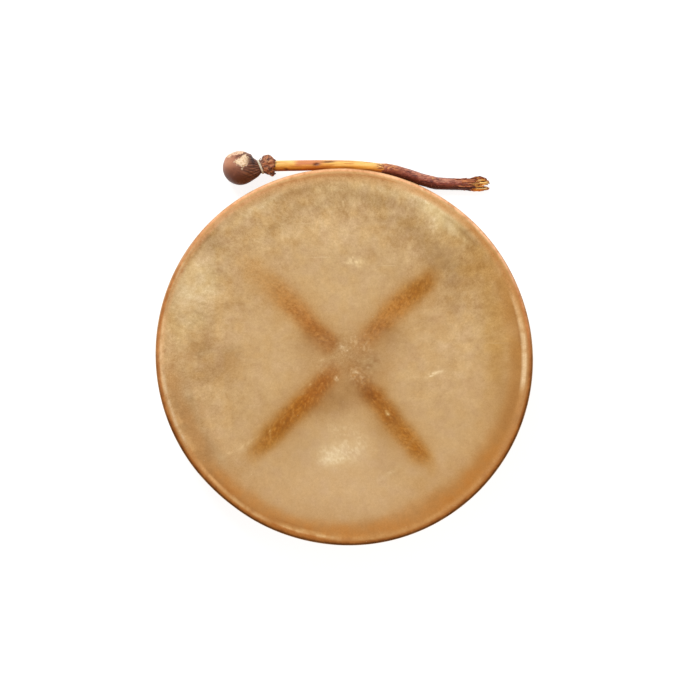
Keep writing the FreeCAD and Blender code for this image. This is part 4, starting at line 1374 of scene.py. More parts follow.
# ---------------------------------------------------------------- lacing and grip
# where each of an arm's five laces lies under the wrap: sideways, and half height
BUNDLE = {-2: (-2.3, 1.15), -1: (-1.15, 3.2), 0: (0.0, 1.15), 1: (1.15, 3.2), 2: (2.3, 1.15)}
RING_PITCH = 3.2  # between laces on the ring
RING_REACH = 3.9  # lace's distance from the ring's wire centre
TURN_R = 2.55  # lace's turn round the flap's edge of a hole


def flap_middle(x, y, least=0.0):
    """Height of the middle of the flap's thickness."""
    radius = math.hypot(x, y) - float(oval(math.atan2(y, x)))
    return .5 * SKIRT_THICK + (FLAP_OUTER - max(radius, least)) * FLAP_SLOPE


def arm_frame(angle, origin):
    """Cosine and sine of an arm's bearing, its origin, and the ring's centre in its frame."""
    cos, sin = math.cos(math.radians(angle)), math.sin(math.radians(angle))
    dx, dy = RING[0] - origin[0], RING[1] - origin[1]
    return cos, sin, *origin, cos * dx + sin * dy, -sin * dx + cos * dy


def arm_axes(angle, origin, distance=0.0):
    """A point on an arm's axis at a distance from the ring, and (along, up, side)."""
    cos, sin, ox, oy, ring_x, _ = arm_frame(angle, origin)
    along = np.array([cos, sin, 0.0])
    base = np.array([ox + cos * (ring_x + distance), oy + sin * (ring_x + distance), RING[2]])
    return base, (along, UP, np.cross(along, UP))


def lace_path(angle, origin, end):
    """From the ring along the arm, through each hole and back, five times over."""
    cos, sin, ox, oy, ring_x, ring_y = arm_frame(angle, origin)
    ring_z = RING[2]

    def world(x, y, z):
        return (ox + cos * x - sin * y, oy + sin * x + cos * y, z)

    def ring_edge(k):
        return ring_x + math.sqrt(RING_R**2 - (RING_PITCH * k) ** 2)

    path = []
    for k in range(-2, 3):
        hole_x, hole_y = hole_xy(math.radians(angle + HOLE_STEP * k))
        hole_x, hole_y = hole_x - ox, hole_y - oy
        hole_x, hole_y = cos * hole_x + sin * hole_y, -sin * hole_x + cos * hole_y
        edge_x, edge_y = ring_edge(k), ring_y + RING_PITCH * k
        aside, high = BUNDLE[k]
        upper = [
            (edge_x - RING_REACH * .71, edge_y, ring_z + RING_REACH * .71),
            (edge_x + .6, edge_y, ring_z + RING_REACH),
            (edge_x + 4.5, edge_y + (aside - edge_y) * .45,
             ring_z + RING_REACH + (high - RING_REACH) * .45),
            (ring_x + 25.0, aside, ring_z + high),
            (ring_x + end - 4.0, aside, ring_z + high),
            (ring_x + end + 1.5, aside * 1.1, ring_z + high),
        ]
        if k == -2:
            upper.insert(0, (edge_x - RING_REACH, edge_y, ring_z))
        fan_x, fan_y = ring_x + end + 5.0, aside * 1.9
        length = math.hypot(hole_x - fan_x, hole_y - fan_y)
        step_x, step_y = (hole_x - fan_x) / length, (hole_y - fan_y) / length

        def before(distance):
            """Arm-frame x and y on the way to the hole, this far short of it."""
            return hole_x - step_x * distance, hole_y - step_y * distance

        back, near, flap_edge = before(TURN_R), before(TURN_R * .29), before(11.0)
        back_z = flap_middle(*world(*back, 0)[:2])
        hole_z = flap_middle(*world(hole_x, hole_y, 0)[:2])
        edge_z = flap_middle(*world(*flap_edge, 0)[:2], FLAP_INNER - 1.5)
        near_z = .3 * back_z + .7 * hole_z
        fan = (fan_x + step_x * 2, fan_y + step_y * 2)
        middle = ((fan_x + flap_edge[0]) / 2, (fan_y + flap_edge[1]) / 2)
        path += [world(*point) for point in upper]
        path += [
            world(*fan, ring_z + high),
            world(*middle, (ring_z + high + edge_z + TURN_R) / 2),
            world(*flap_edge, edge_z + TURN_R),
            world(*back, back_z + TURN_R),
            world(*near, near_z + TURN_R * .71),
            world(hole_x, hole_y, hole_z),
            world(*near, near_z - TURN_R * .71),
            world(*back, back_z - TURN_R),
            world(*flap_edge, edge_z - TURN_R),
            world(*middle, (ring_z - high + edge_z - TURN_R) / 2),
            world(*fan, ring_z - high),
        ]
        lower = reversed(upper[1 if k == -2 else 0 :])
        path += [world(x, y, 2 * ring_z - z) for x, y, z in lower]
        if k < 2:
            between_x = (edge_x + ring_edge(k + 1)) / 2 - RING_REACH
            path.append(world(between_x, edge_y + RING_PITCH / 2, ring_z))
        else:
            path.append(world(edge_x - RING_REACH, edge_y, ring_z))
    return np.array(path)


def build_lace(n, arm, angle, origin, end):
    """A flat strip of rawhide, rolled up, whose width and twist wander."""
    path = curve(lace_path(angle, origin, end), 1.7)
    run = lengths(path)
    at = coords(run / 26.0, n * 7.7)
    sides = 10
    angles = np.arange(sides) * TAU / sides
    radius = 1.34 + .16 * fbm(at, 3, 401)
    around = (run[:, None] / 3.1, np.cos(angles) * 1.7, np.sin(angles) * 1.7)
    ridges = 1 + .05 * noise(around, 409)
    twist = 2.6 * fbm(at * .55, 2, 405)
    verts, faces = tube(path, radius[:, None] * ridges, sides, twist=twist, flat=.66)
    add_mesh("lacing_" + arm, verts, faces, LACE, "drum", "rawhide_lace", "lace_" + arm)


def build_wrap(n, arm, angle, origin, start, end):
    """A leather strip wound round an arm; each turn rides over the last."""
    base, axes = arm_axes(angle, origin)
    length, sides, step, pitch = end - start, 56, .62, 11.5
    x = np.linspace(0, length, int(length / step) + 1)
    angles = np.arange(sides) * TAU / sides
    cos, sin = np.cos(angles), np.sin(angles)
    run = x[:, None]
    turn = angles / TAU * (1 if n % 2 else -1)
    waver = .10 * noise((run / 9, cos * 1.3 + n * 5, sin * 1.3), 431)
    phase = (run / pitch + turn + waver + .37 * n) % 1.0
    radius = 6.45 + (.95 * phase - .25 * phase**2) * smooth(1.0, .93, phase)
    at = coords(run / 3.2, cos * 2.4 + n * 9, sin * 2.4)
    radius = radius + .16 * fbm(at, 4, 441) + .05 * fbm(at * 3.0, 3, 447)
    taper = np.minimum(smooth(-.5, 1.6, run), smooth(length + .5, length - 1.6, run))
    radius = 5.6 + (radius - 5.6) * taper
    sag = .5 * np.sin(run / length * math.pi)
    outer = place(base, axes, start + run, cos * radius - sag, sin * radius)
    bore = 5.05
    inner = place(base, axes, start + run[::6], cos * bore - sag[::6],
                  np.broadcast_to(sin * bore, (len(run[::6]), sides)))
    verts, faces = sleeve(outer, inner)
    edge = bell(phase - .92, .045).ravel()
    edge = np.concatenate([edge, np.zeros(len(verts) - len(edge))])
    add_mesh("grip_wrap_" + arm, verts, faces, WRAP, "drum", "wrap_leather",
             "arm_wrap_" + arm, edge=edge)


def helix(base, axes, radius, turns, pitch, start=0.0, step=10.0):
    """A helix centred on a point; start and step in degrees."""
    degrees = np.arange(int(turns * 360 / step) + 1) * step
    angle = np.radians(start + degrees)
    along = (degrees / 360.0 - turns / 2) * pitch
    return place(base, axes, along, np.cos(angle) * radius, np.sin(angle) * radius)


def plied(path, radius, lay, sides=7, wobble=0.0, seed=0):
    """A cord of two strands twisted round a path."""
    run = lengths(path)
    _, up, side = carried_frame(path)
    strands = []
    for k in range(2):
        angle = run / lay * TAU + k * math.pi
        offset = radius * .52
        strand_path = place(path, (up, side), np.cos(angle) * offset, np.sin(angle) * offset)
        thick = radius * .56 * (1 + wobble * noise((run / 2.0, k * 3.1, seed), 451))
        strands.append(tube(strand_path, thick, sides))
    return strands


def tied_end(end, base, along, lay, turns, points, lift, loop, drift, cord,
             tail_points, tail_lift, tail_reach, tail_bend, tail_cord):
    """A coiled knot at a cord's end with two short tails."""
    out = (end - base) - along * ((end - base) @ along)
    out /= np.linalg.norm(out)
    side = np.cross(along, out)
    angle = np.linspace(0, TAU * turns, points)
    knot = place(end, (along, out, side), np.cos(angle) * loop[0],
                 lift + np.sin(angle) * loop[1], np.linspace(-drift, drift, points))
    parts = plied(knot, cord, lay)
    share = np.linspace(0, 1, tail_points)
    for sign in (-1, 1):
        tail = place(end, (along, out, side), tail_bend(share, sign),
                     tail_lift[0] + tail_lift[1] * share, sign * tail_reach * share)
        parts += plied(tail, tail_cord, lay)
    return parts


def build_ties():
    """A whipping of cord near the outer end of each wrap."""
    parts = []
    for n, (_, angle, origin, _, end) in enumerate(ARMS):
        base, axes = arm_axes(angle, origin, end - 5.0)
        whipping = helix(base, axes, radius=8.05, turns=3.1, pitch=1.55, start=40.0 * n)
        parts += plied(whipping, .78, lay=3.4, wobble=.08, seed=n)
        parts += tied_end(
            whipping[-1], base, axes[0], lay=3.0,
            turns=1.6, points=26, lift=.9, loop=(1.25, 1.05), drift=.8, cord=.66,
            tail_points=12, tail_lift=(1.2, .8), tail_reach=4.2, tail_cord=.6,
            tail_bend=lambda share, sign: 1.5 * share * sign + 1.2 * share**2,
        )
    add_mesh("wrap_end_ties", *merge(parts), SINEW, "drum", "sinew", "wrap_ties")


def build_knot():
    """Lace wound round the last arm by the ring, with an overhand knot and a cut tail."""
    _, angle, origin, _, _ = ARMS[3]
    base, axes = arm_axes(angle, origin, 28.2)
    along, up, side = axes
    whipping = helix(base, axes, radius=6.5, turns=2.05, pitch=2.35, step=8.0)
    angle = np.linspace(0, TAU, 60)
    knot = place(
        base + up * 7.4, (along, side, up),
        2.3 * (np.sin(angle) + .55 * np.sin(2 * angle)),
        2.1 * (np.cos(angle) - .55 * np.cos(2 * angle)),
        .95 * np.sin(3 * angle) + 1.2,
    )
    end = knot[-1]
    tail = curve([
        end,
        end + up * .8 + side * 3.0,
        end + side * 6.5 - along * 1.5 - up * .6,
        end + side * 9.0 - along * 4.5 - up * 3.0,
    ], 1.0)
    parts = []
    for path, width in ((whipping, 1.25), (knot, 1.05), (tail, 1.05)):
        run = np.linspace(0, len(path) / 14.0, len(path))
        width = width * (1 + .07 * np.sin(run * 5))
        parts.append(tube(path, width, 10, twist=.5 * np.sin(run * 2), flat=.72))
    add_mesh("lacing_end_knot", *merge(parts), LACE, "drum", "rawhide_lace", "tie_off_knot")


for n, (arm, angle, origin, start, end) in enumerate(ARMS):
    build_lace(n, arm, angle, origin, end)
    build_wrap(n, arm, angle, origin, start, end)
build_ties()
build_knot()

# ---------------------------------------------------------------- beater's branch
# the branch's centre line, drawn with the stick's lowest corner at DRAWN_CORNER
DRAWN_CORNER = np.array([-117.92, 182.65, 2.17])
shift = np.round(1000 * np.array(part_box("beater_stick")[0]) - DRAWN_CORNER, 1)
LINE = shift + np.array([
    (-117.6, 205.0, 19.6), (-102.4, 205.8, 18.9), (-89.4, 206.6, 18.2), (-69.8, 207.4, 17.1),
    (-48.1, 207.9, 15.9), (-26.3, 208.3, 14.7), (-.2, 208.35, 13.2), (11.8, 208.0, 12.5),
    (28.1, 206.5, 11.7), (40.2, 205.1, 11.1), (44.0, 204.5, 10.9), (52.1, 203.0, 10.4),
    (60.8, 200.9, 9.9), (71.7, 197.4, 9.2), (82.6, 193.7, 8.6), (93.5, 190.6, 8.0),
    (104.5, 188.7, 7.4), (120.8, 188.2, 7.1), (137.2, 187.6, 6.9), (146.5, 187.3, 6.9),
])
SPINE = curve(LINE, .8)
# x and radius of the peeled wood, and of the bark
WOOD_GIRTH = [
    (-117, 4.8), (-102, 5.4), (-89, 5.7), (-70, 5.85), (-48, 5.8), (-26, 5.6), (0, 5.3),
    (12, 5.25), (28, 5.3), (40.5, 5.2), (46.5, 4.6), (60, 4.6), (144, 4.4),
]
BARK_GIRTH = [
    (40, 5.45), (44, 5.9), (50, 6.25), (60, 6.35), (72, 6.4), (82, 6.45), (90, 6.75),
    (95, 6.9), (104, 6.55), (112, 6.3), (120, 6.3), (137, 6.25), (145, 6.1),
]
KNOT = (-30.3, 209.2)
# dark places on the wood: strength, on the upper side only, x, y, half sizes, turn
WOOD_DARKS = [
    (1.25, True, *KNOT, 3.4, 1.5, 8), (1.15, True, -17.4, 211.8, 6.6, .95, 2),
    (1.1, False, -62.5, 203.4, 2.9, .9, -12), (.55, False, -52.0, 202.9, 6, .6, 0),
    (.5, False, -24.0, 205.0, 9, .7, 6), (.6, False, 27.0, 203.4, 7, .7, -6),
    (.5, False, 4.0, 206.0, 8, .6, -3),
]
# marks on the bark: x, y, half sizes, turn, red, green, blue, strength
BARK_MARKS = numbers("""
96.5 194.5 1.3 1.2 0 226 168 96 .9
104.5 191.2 4.4 1.5 0 214 158 128 .6
110.5 191.4 3.2 1.3 0 210 154 130 .55
78 200.6 .5 2 0 196 124 104 .6
120 189.6 .5 3 0 70 30 24 .6
114 192.2 3 1 0 196 140 118 .4
90 190 5 1.4 0 86 34 28 .4
127 186 9 .8 0 150 106 70 .7
132 190.2 6 .6 0 196 140 100 .5
""")


def wood_relief(points, outward, x, cos, sin):
    """Knife facets, fibres, and the knots and slit in the peeled wood."""
    px, py, up = points[..., 0], points[..., 1], outward[..., 2]
    relief = .16 * noise((px / 46, cos * 2.1, sin * 2.1), 501)
    relief = relief + .05 * fbm((px / 14, cos * 9, sin * 9), 3, 505)
    upper = smooth(-.1, .4, up)
    relief += .55 * spot(px, py, *KNOT, 5.0, 2.7, 8) * upper
    relief -= 1.1 * spot(px, py, *KNOT, 3.0, 1.5, 8) * upper
    relief -= .75 * spot(px, py, -17.4, 211.6, 6.2, .9, 2) * upper
    relief -= .7 * spot(px, py, -62.5, 203.6, 2.6, 1.0, -12) * smooth(-.8, 0, up)
    for dent_x, dent_y in ((-80, 208), (-8, 207), (22, 206), (36, 204)):
        relief -= .5 * spot(px, py, dent_x, dent_y, 2.6, 1.6) * smooth(.2, -.6, up)
    return relief


def wood_tint(verts, path):
    """Golden sapwood, redder in places, with darker grain lines; painted highlight at +Y, painted
    shade at -Y.
    """
    x, y, z = verts.T
    across = (y - np.interp(x, path[:, 0], path[:, 1])) / 5.2
    facing_up = smooth(0, .5, (z - np.interp(x, path[:, 0], path[:, 2])) / 5.2)
    grain = fbm((x / 34, y / 1.5, z / 1.5), 4, 511)
    broad = fbm((x / 60, y / 4.0, z / 4.0), 3, 515)
    fleck = fbm((x / 2.6, y / 1.1, z / 1.1), 3, 521) + .22 * smooth(36, 44, x)
    drift = x + 5 * grain
    red = smooth(-56, -48, drift) * smooth(-18, -30, drift)
    red = red * smooth(-.35, .35, across + .5 * grain)
    dark = np.max([
        strength * spot(x, y, *shape) * (facing_up if up_only else 1)
        for strength, up_only, *shape in WOOD_DARKS
    ], axis=0)
    tint = plain((238, 180, 84), len(verts))
    paint(
        tint,
        # paler towards +Y as painted highlight; deeper orange towards the -Y edge, partly the
        # wood's own tone and partly painted shade
        ((252, 214, 136), .75 * smooth(0, .85, across)),
        ((214, 138, 44), .85 * smooth(0, -.6, across)),
        ((168, 92, 30), .80 * smooth(-.6, -.95, across)),
        ((196, 112, 40), .70 * smooth(.08, .42, grain)),
        ((255, 226, 158), .45 * smooth(.1, .5, -broad)),
        ((208, 124, 78), .85 * red),
        ((202, 104, 32), .7 * bell(x + 31, 16.0) * smooth(-.1, -.8, across)),
        ((214, 150, 92), .6 * bell(x + 8, 26.0) * smooth(.55, .95, across + .2 * grain)),
        ((190, 112, 46), .62 * smooth(24, 44, x) * smooth(.3, -.8, across)),
        ((112, 58, 24), np.clip(dark * (1 + .35 * grain), 0, 1)),
        ((140, 72, 44), .9 * smooth(30, 41, x) * smooth(0, .35, fleck)),
    )
    return tint


def build_stick():
    path = SPINE[(SPINE[:, 0] > -117) & (SPINE[:, 0] < 144.5)]
    x = path[:, 0]
    radius = station(x, WOOD_GIRTH)[:, None]
    path = path + np.array([0, .12, .1])
    _, up, side = carried_frame(path)
    angles = np.arange(72) * TAU / 72
    cos, sin = np.cos(angles), np.sin(angles)
    outward = cos[:, None] * up[:, None] + sin[:, None] * side[:, None]
    points = path[:, None] + radius[..., None] * outward
    relief = wood_relief(points, outward, x, cos, sin)
    verts, faces = loft(points + relief[..., None] * outward)
    add_mesh("branch_wood", verts, faces, PEELED_WOOD, "beater", "peeled_wood",
             "beater_stick", wood_tint(verts, path))


def bark_tint(verts, path):
    x, y, z = verts.T
    across = (y - np.interp(x, path[:, 0], path[:, 1])) / 6.4
    top = smooth(-.2, .6, (z - np.interp(x, path[:, 0], path[:, 2])) / 6.4)
    broad = fbm((x / 12, y / 3, z / 3), 4, 561)
    fine = fbm((x / 3.4, y, z), 4, 565)
    fleck = fbm((x / 2.4, y / 1.2, z / 1.2), 3, 563)
    # golden wood shows through where the bark is thin near its start
    bare = smooth(64, 50, x) * smooth(-.25, .35, across) * smooth(-.16, .06, fleck)
    tint = plain((130, 58, 42), len(verts))
    paint(
        tint,
        # painted highlight on the +Y side where it faces up, painted shade on the -Y side below
        ((190, 122, 98), .88 * smooth(-.05, .7, across + .25 * broad) * top),
        ((78, 26, 14), .90 * smooth(-.05, -.7, across + .2 * broad)),
        ((60, 20, 18), .62 * smooth(.05, .36, fine)),
        # pink flecks towards +Y, partly pale flecks of bark and partly painted highlight
        ((204, 140, 110), .66 * smooth(.08, .36, -fine) * smooth(-.6, .4, across)),
        ((168, 94, 52), .42 * smooth(74, 50, x) * smooth(-.9, .2, across)),
        ((74, 28, 22), .40 * smooth(.05, .4, broad)),
        ((222, 150, 86), .98 * bare),
    )
    paint_spots(tint, x, y, BARK_MARKS, top * (.7 + .6 * fleck))
    far = smooth(122, 136, x) * smooth(-.1, .25, fleck + .2 * broad) * smooth(-.7, .3, across)
    paint(tint, ((206, 132, 78), .88 * far))
    inside = np.array([176, 112, 66]) * (1 + .1 * broad)[:, None]
    return tint, inside


def build_bark():
    start, end = 42.0, 139.5
    path = SPINE[(SPINE[:, 0] > start - 2) & (SPINE[:, 0] < end + 2)]
    path = curve(path[::6], .55)
    along, up, side = carried_frame(path)
    angles = np.arange(96) * TAU / 96
    cos, sin = np.cos(angles), np.sin(angles)
    outward = cos[:, None] * up[:, None] + sin[:, None] * side[:, None]
    share = np.linspace(0, 1, len(path))[:, None]
    # ragged ends: points slide along the branch by an amount that varies round it
    ragged_start = (
        2.6 * fbm((cos * 2.6, sin * 2.6, 0), 4, 531)
        + 1.2 * fbm((cos * 9, sin * 9, 0), 3, 533) + 2.4 * cos
    )
    ragged_end = 5.5 * fbm((cos * 2.2, sin * 2.2, 3), 4, 535)
    ragged_end += 2.0 * fbm((cos * 8, sin * 8, 0), 3, 537)
    slide = ragged_start * (1 - smooth(0, .10, share)) + ragged_end * smooth(.84, 1, share)
    x = path[:, :1]
    at = coords(x / 9, cos * 1.8, sin * 1.8)
    bumps = .42 * fbm(at, 4, 541) + .22 * fbm(at * 3.3, 3, 543)
    wrinkles = .30 * fbm((x / 30, cos * 7, sin * 7), 3, 547)
    radius = station(path[:, 0], BARK_GIRTH)[:, None] + bumps + wrinkles
    ends = np.minimum(smooth(-.02, .05, share), smooth(1.0, .965, share))
    radius = 5.25 + (radius - 5.25) * (.35 + .65 * ends)
    # the edge at the far end lifts like a peeling strip
    peel = np.clip(fbm((cos * 1.7, sin * 1.7, 9), 2, 551), 0, 1)
    lift = smooth(.90, 1.0, share) * peel * 1.5
    axes = (along[:, None], outward)
    outer = place(path[:, None], axes, slide, radius + lift)
    inner = place(path[:, None], axes, slide, 4.78 + lift * .96)
    verts, faces = sleeve(outer, inner)
    tint, inside = bark_tint(verts, path)
    half = len(verts) // 2
    tint[half:] = inside[half:]
    add_mesh("branch_bark", verts, faces, BARK, "beater", "red_bark", "beater_bark", tint)


# ---------------------------------------------------------------- split end of the branch
LIGHT_WOOD = [(252, 166, 54), (240, 144, 44), (255, 214, 132), (228, 124, 40), (252, 186, 88)]
# darker colours: some strands' own darker wood, and painted shade for the strands sunk between the
# bright ones
DARK_AND_SHADED_WOOD = [(150, 68, 32), (112, 44, 26), (178, 92, 40)]
# single strands: middle, tip, root and tip half widths, colour
LOOSE_STRANDS = [
    ((148, 180.4, 6.2), (158.8, 183.9, 6.4), 1.2, 1.0, (206, 122, 56)),
    ((149, 180.6, 4.8), (158.2, 183.0, 4.8), 1.1, .9, (132, 70, 44)),
    ((147, 182.2, 7.8), (156.4, 184.6, 7.8), 1.0, .7, (252, 214, 142)),
    ((149, 196.8, 9.8), (158.2, 189.8, 9.2), 1.0, .9, (150, 74, 46)),
    ((148, 197.6, 8.6), (155.4, 193.6, 8.0), 1.2, .9, (124, 58, 40)),
    ((150, 190.4, 11.2), (158.0, 188.8, 10.4), .9, .7, (250, 204, 124)),
    ((147, 192.8, 12.0), (154.6, 192.2, 12.2), 1.0, .7, (244, 176, 84)),
    ((143, 185.0, 11.2), (153.0, 186.0, 10.4), .9, .6, (240, 160, 66)),
    ((142, 188.6, 12.4), (151.0, 193.6, 12.0), .9, .6, (254, 214, 144)),
    ((143, 183.2, 9.4), (150.2, 189.6, 10.4), .9, .6, (110, 46, 30)),
]
# bark slivers: root, tip, root and tip half widths, flatness, upward curl, side bow
SLIVERS = [
    ((130, 193.2, 9.4), (144.6, 195.6, 10.8), 2.4, 1.0, .24, 1.4, .4),
    ((128, 190.8, 12.6), (144.0, 190.4, 13.6), 2.6, .8, .22, 1.2, -.6),
    ((130, 182.8, 9.4), (142.0, 180.6, 8.8), 2.2, .8, .24, .9, -.6),
    ((122, 186.4, 12.8), (141.0, 185.8, 13.0), 1.9, .6, .22, 1.0, .6),
    ((128, 184.0, 3.8), (143.0, 182.4, 2.8), 2.1, .8, .24, -.4, .4),
    ((132, 188.4, 13.2), (146.0, 187.6, 13.0), 1.6, .5, .22, .8, .5),
    ((134, 192.6, 11.6), (151.0, 196.0, 11.8), 1.3, .6, .3, .8, 1.4),
    ((133, 191.4, 12.6), (149.0, 193.6, 13.4), 1.0, .5, .3, .8, .9),
    ((131, 186.0, 13.0), (146.0, 190.6, 13.2), 1.0, .4, .3, .7, -.5),
    ((120, 192.6, 11.0), (134.0, 194.6, 12.6), 1.6, .5, .22, .8, .3),
]


def wander(share, rate, seed, noise_seed):
    """A small random drift in x, y and z along a strand."""
    return np.stack([noise((share * rate, seed, k), noise_seed) for k in range(3)], 1)


def sliver(root, tip, root_width, tip_width, flat, curl, bow, seed):
    """A split sliver: flat, tapering, curved and ragged at the tip."""
    root, reach = np.array(root, float), np.subtract(tip, root)
    share = np.linspace(0, 1, 16)
    side = np.cross(reach / np.linalg.norm(reach), UP)
    rise = curl * np.sin(share * math.pi * .5) ** 2 * .6
    path = place(root, (reach, UP, side), share, rise, bow * np.sin(share * math.pi))
    path += .20 * wander(share, 5, seed, 571)
    width = root_width + (tip_width - root_width) * share**.8
    width = width * (1 + .22 * noise((share * 7, seed, 0), 573))
    width[-1] *= .35
    width[-2] *= .8
    return tube(path, width, 9, twist=seed * 1.3 + share * .9, flat=flat)


def sliver_tint(verts, n):
    grain = fbm((verts[:, 0] / 3, verts[:, 1] / 1.2, verts[:, 2] / 1.2 + n), 3, 583)
    tint = plain((166, 92, 58), len(verts))
    paint(
        tint,
        ((214, 146, 96), .7 * smooth(.05, .45, grain)),
        ((84, 34, 26), .6 * smooth(.05, .45, -grain)),
    )
    return tint


def strand(n, root, middle, tip, root_width, tip_width, flat, rgb):
    """A thick frayed strand bent from root to tip, as a mesh part and its tint."""
    seed, count, sides = n + 1, 22, 12
    root, middle, tip = (np.array(point, float) for point in (root, middle, tip))
    share = np.linspace(0, 1, count)
    column = share[:, None]
    path = root * (1 - column) ** 2 + middle * 2 * column * (1 - column) + tip * column**2
    path = path + .45 * wander(share, 6, seed, 575) * column
    width = root_width + (tip_width - root_width) * share
    width = width * (1 + .30 * noise((share * 8, seed, 0), 577))
    width[-1] *= .30
    width[-2] *= .75
    ridges = 1 + .22 * np.sin(3 * np.arange(sides) * TAU / sides + seed)
    twist = seed * 1.3 + share * 1.6
    verts, faces = tube(path, width[:, None] * ridges, sides, twist=twist, flat=flat)
    run = np.concatenate([np.repeat(share, sides), [0, 1]])
    grain = fbm((verts[:, 0] / 3.0, verts[:, 1] / .7, verts[:, 2] / .7 + n), 3, 581)
    tint = plain(rgb, len(verts))
    paint(
        tint,
        ((140, 64, 26), .55 * smooth(.12, .45, grain)),
        ((255, 222, 140), .40 * smooth(.12, .45, -grain)),
        ((136, 70, 36), .55 * smooth(.88, 1.0, run)),
    )
    return (verts, faces), tint


def scatter(rng, per_layer, stray):
    """Yields index, layer, place in it, share across at root and tip, and jitters."""
    for n in range(3 * per_layer):
        layer, m = divmod(n, per_layer)
        across = (m + (.5 if layer else 0.0)) / (per_layer - 1) + rng.uniform(-.02, .02)
        if layer and across > 1.02:
            across = rng.uniform(.1, .9)
        jitter_y, jitter_z, jitter_x = rng.uniform(-1, 1, 3)
        at_tip = across
        if layer == 0:
            at_tip = float(np.clip(across + rng.uniform(-stray, stray), 0, 1))
        yield n, layer, m, across, at_tip, jitter_x, jitter_y, jitter_z


def build_fray():
    rng = np.random.default_rng(28)
    strands = []
    # prong at +Y: bright strands side by side on top, darker ones sunk between and
    # under them in painted shade, swelling upward from the bark and turning over at the tip
    for n, layer, m, across, at_tip, jx, jy, jz in scatter(rng, 8, .42):
        drop = (1.0, -.9, -3.4)[layer]
        root = (134.5, 186.8 + 5.2 * across, 8.0 + 3.0 * math.sin(across * 3.1) + drop + .3 * jz)
        middle_y = 186.5 + 11.4 * across + .3 * jy + .45 * 11.4 * (at_tip - across)
        middle = (146.5 + jx, middle_y, 8.8 + drop + .7 * jz)
        tip_x = 151.2 + 6.6 * (1 - ((at_tip - .3) / .7) ** 2) + 1.7 * jx
        tip = (tip_x, 187.6 + 6.4 * at_tip + .4 * jy, 8.4 + drop + .9 * jz)
        dark = layer == 1 or m in (3, 7)
        rgb = DARK_AND_SHADED_WOOD[m % 3] if dark else LIGHT_WOOD[(m * 2 + layer) % 5]
        width = (.95, .8, 1.1)[layer] + .15 * jy
        strands.append(strand(n, root, middle, tip, width, .5 + .12 * jz, .85, rgb))
    # prong at -Y: shorter
    for n, layer, m, across, at_tip, jx, jy, jz in scatter(rng, 6, .4):
        drop = (.9, -.6, -2.4)[layer]
        root = (134.5, 182.8 + 4.6 * across, 7.0 + 2.4 * math.sin(across * 3.1) + drop + .3 * jz)
        middle = (145.0 + jx, 179.8 + 6.6 * across + .3 * jy, 6.0 + drop + .6 * jz)
        tip = (151.0 + 5.4 * at_tip + 1.2 * jx, 181.2 + 3.4 * at_tip + .3 * jy,
               5.4 + drop + .8 * jz)
        dark = layer == 1 or m == 4
        rgb = DARK_AND_SHADED_WOOD[m % 3] if dark else LIGHT_WOOD[(m * 2 + 1 + layer) % 5]
        width = (.9, .75, 1.0)[layer] + .15 * jy
        strands.append(strand(60 + n, root, middle, tip, width, .5 + .12 * jz, .85, rgb))
    for n, (middle, tip, root_width, tip_width, rgb) in enumerate(LOOSE_STRANDS):
        root = (135.5, 187.0 + (middle[1] - 187.0) * .35, 7.6 + (middle[2] - 7.6) * .5)
        strands.append(strand(40 + n, root, middle, tip, root_width, tip_width, .75, rgb))
    for n, shape in enumerate(SLIVERS):
        part = sliver(*shape, seed=n + 31)
        strands.append((part, sliver_tint(part[0], n)))
    verts, faces = merge([part for part, _ in strands])
    tint = np.vstack([own for _, own in strands])
    add_mesh("branch_splinters", verts, faces, SPLIT_WOOD, "beater", "peeled_wood", tint=tint)


build_stick()
build_bark()
build_fray()

# ---------------------------------------------------------------- beater's head
core_low, core_high = (1000 * np.array(corner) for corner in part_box("beater_core"))
BALL = np.round(core_low + (core_high[1] - core_low[1]) / 2, 1)
head_along = LINE[3] - BALL
head_along /= np.linalg.norm(head_along)
head_up = UP - head_along * head_along[2]
head_up /= np.linalg.norm(head_up)
HEAD_AXES = (head_along, head_up, np.cross(head_along, head_up))
LEATHER_R = 18.7
NECK = 22.2  # distance of the neck cord from the ball's centre
# (distance along the stick, radius) of the collar, neck to hem
COLLAR = [
    (NECK, 6.55), (23.2, 6.8), (24.2, 7.2), (25.4, 7.7), (26.8, 8.4), (28.2, 9.1), (29.6, 9.8),
    (31.0, 10.5), (32.4, 11.1), (33.6, 11.4), (34.8, 11.3), (36.0, 10.8), (37.2, 10.1),
    (38.4, 9.2),
]
# places measured from the ball's centre: x, y, half sizes, turn, red, green, blue, strength
NECK_SHADOWS = numbers("""
14 7 1 4.6 12 44 18 12 1.1
10.5 6.5 3.2 3.6 0 110 72 50 .7
""")
# painted shade in the creases of the leather, and painted highlight along their ridges
CREASE_SHADE_AND_HIGHLIGHTS = numbers("""
13 3.6 5.6 .55 8 74 38 24 .8
12.5 .4 6.4 .5 -4 70 34 22 .8
11 -2.6 7.4 .55 -14 64 30 18 .8
10.5 -5.6 7 .5 -22 62 28 16 .75
7 -9 7.4 .55 -26 60 26 16 .6
2 -3 6 .45 -12 84 44 28 .5
12.8 2 5.6 .6 2 182 126 90 .6
12 -1.2 6.4 .6 -9 176 116 80 .6
11.5 -4.2 6.4 .65 -18 172 110 72 .65
9.5 -7.4 6.4 .7 -24 160 98 58 .6
3 -6 6.4 .6 -20 150 92 60 .45
-2 2.6 5.4 .5 -8 158 104 78 .4
11.6 11.6 3.4 .55 -32 52 24 16 .8
14.4 8.2 3.4 .9 -50 54 24 16 .85
15 5.2 1.6 3.4 10 60 28 20 .75
8.4 15.4 4.4 .6 -24 176 126 100 .6
12.6 6.4 1.2 3 16 70 36 24 .6
""")


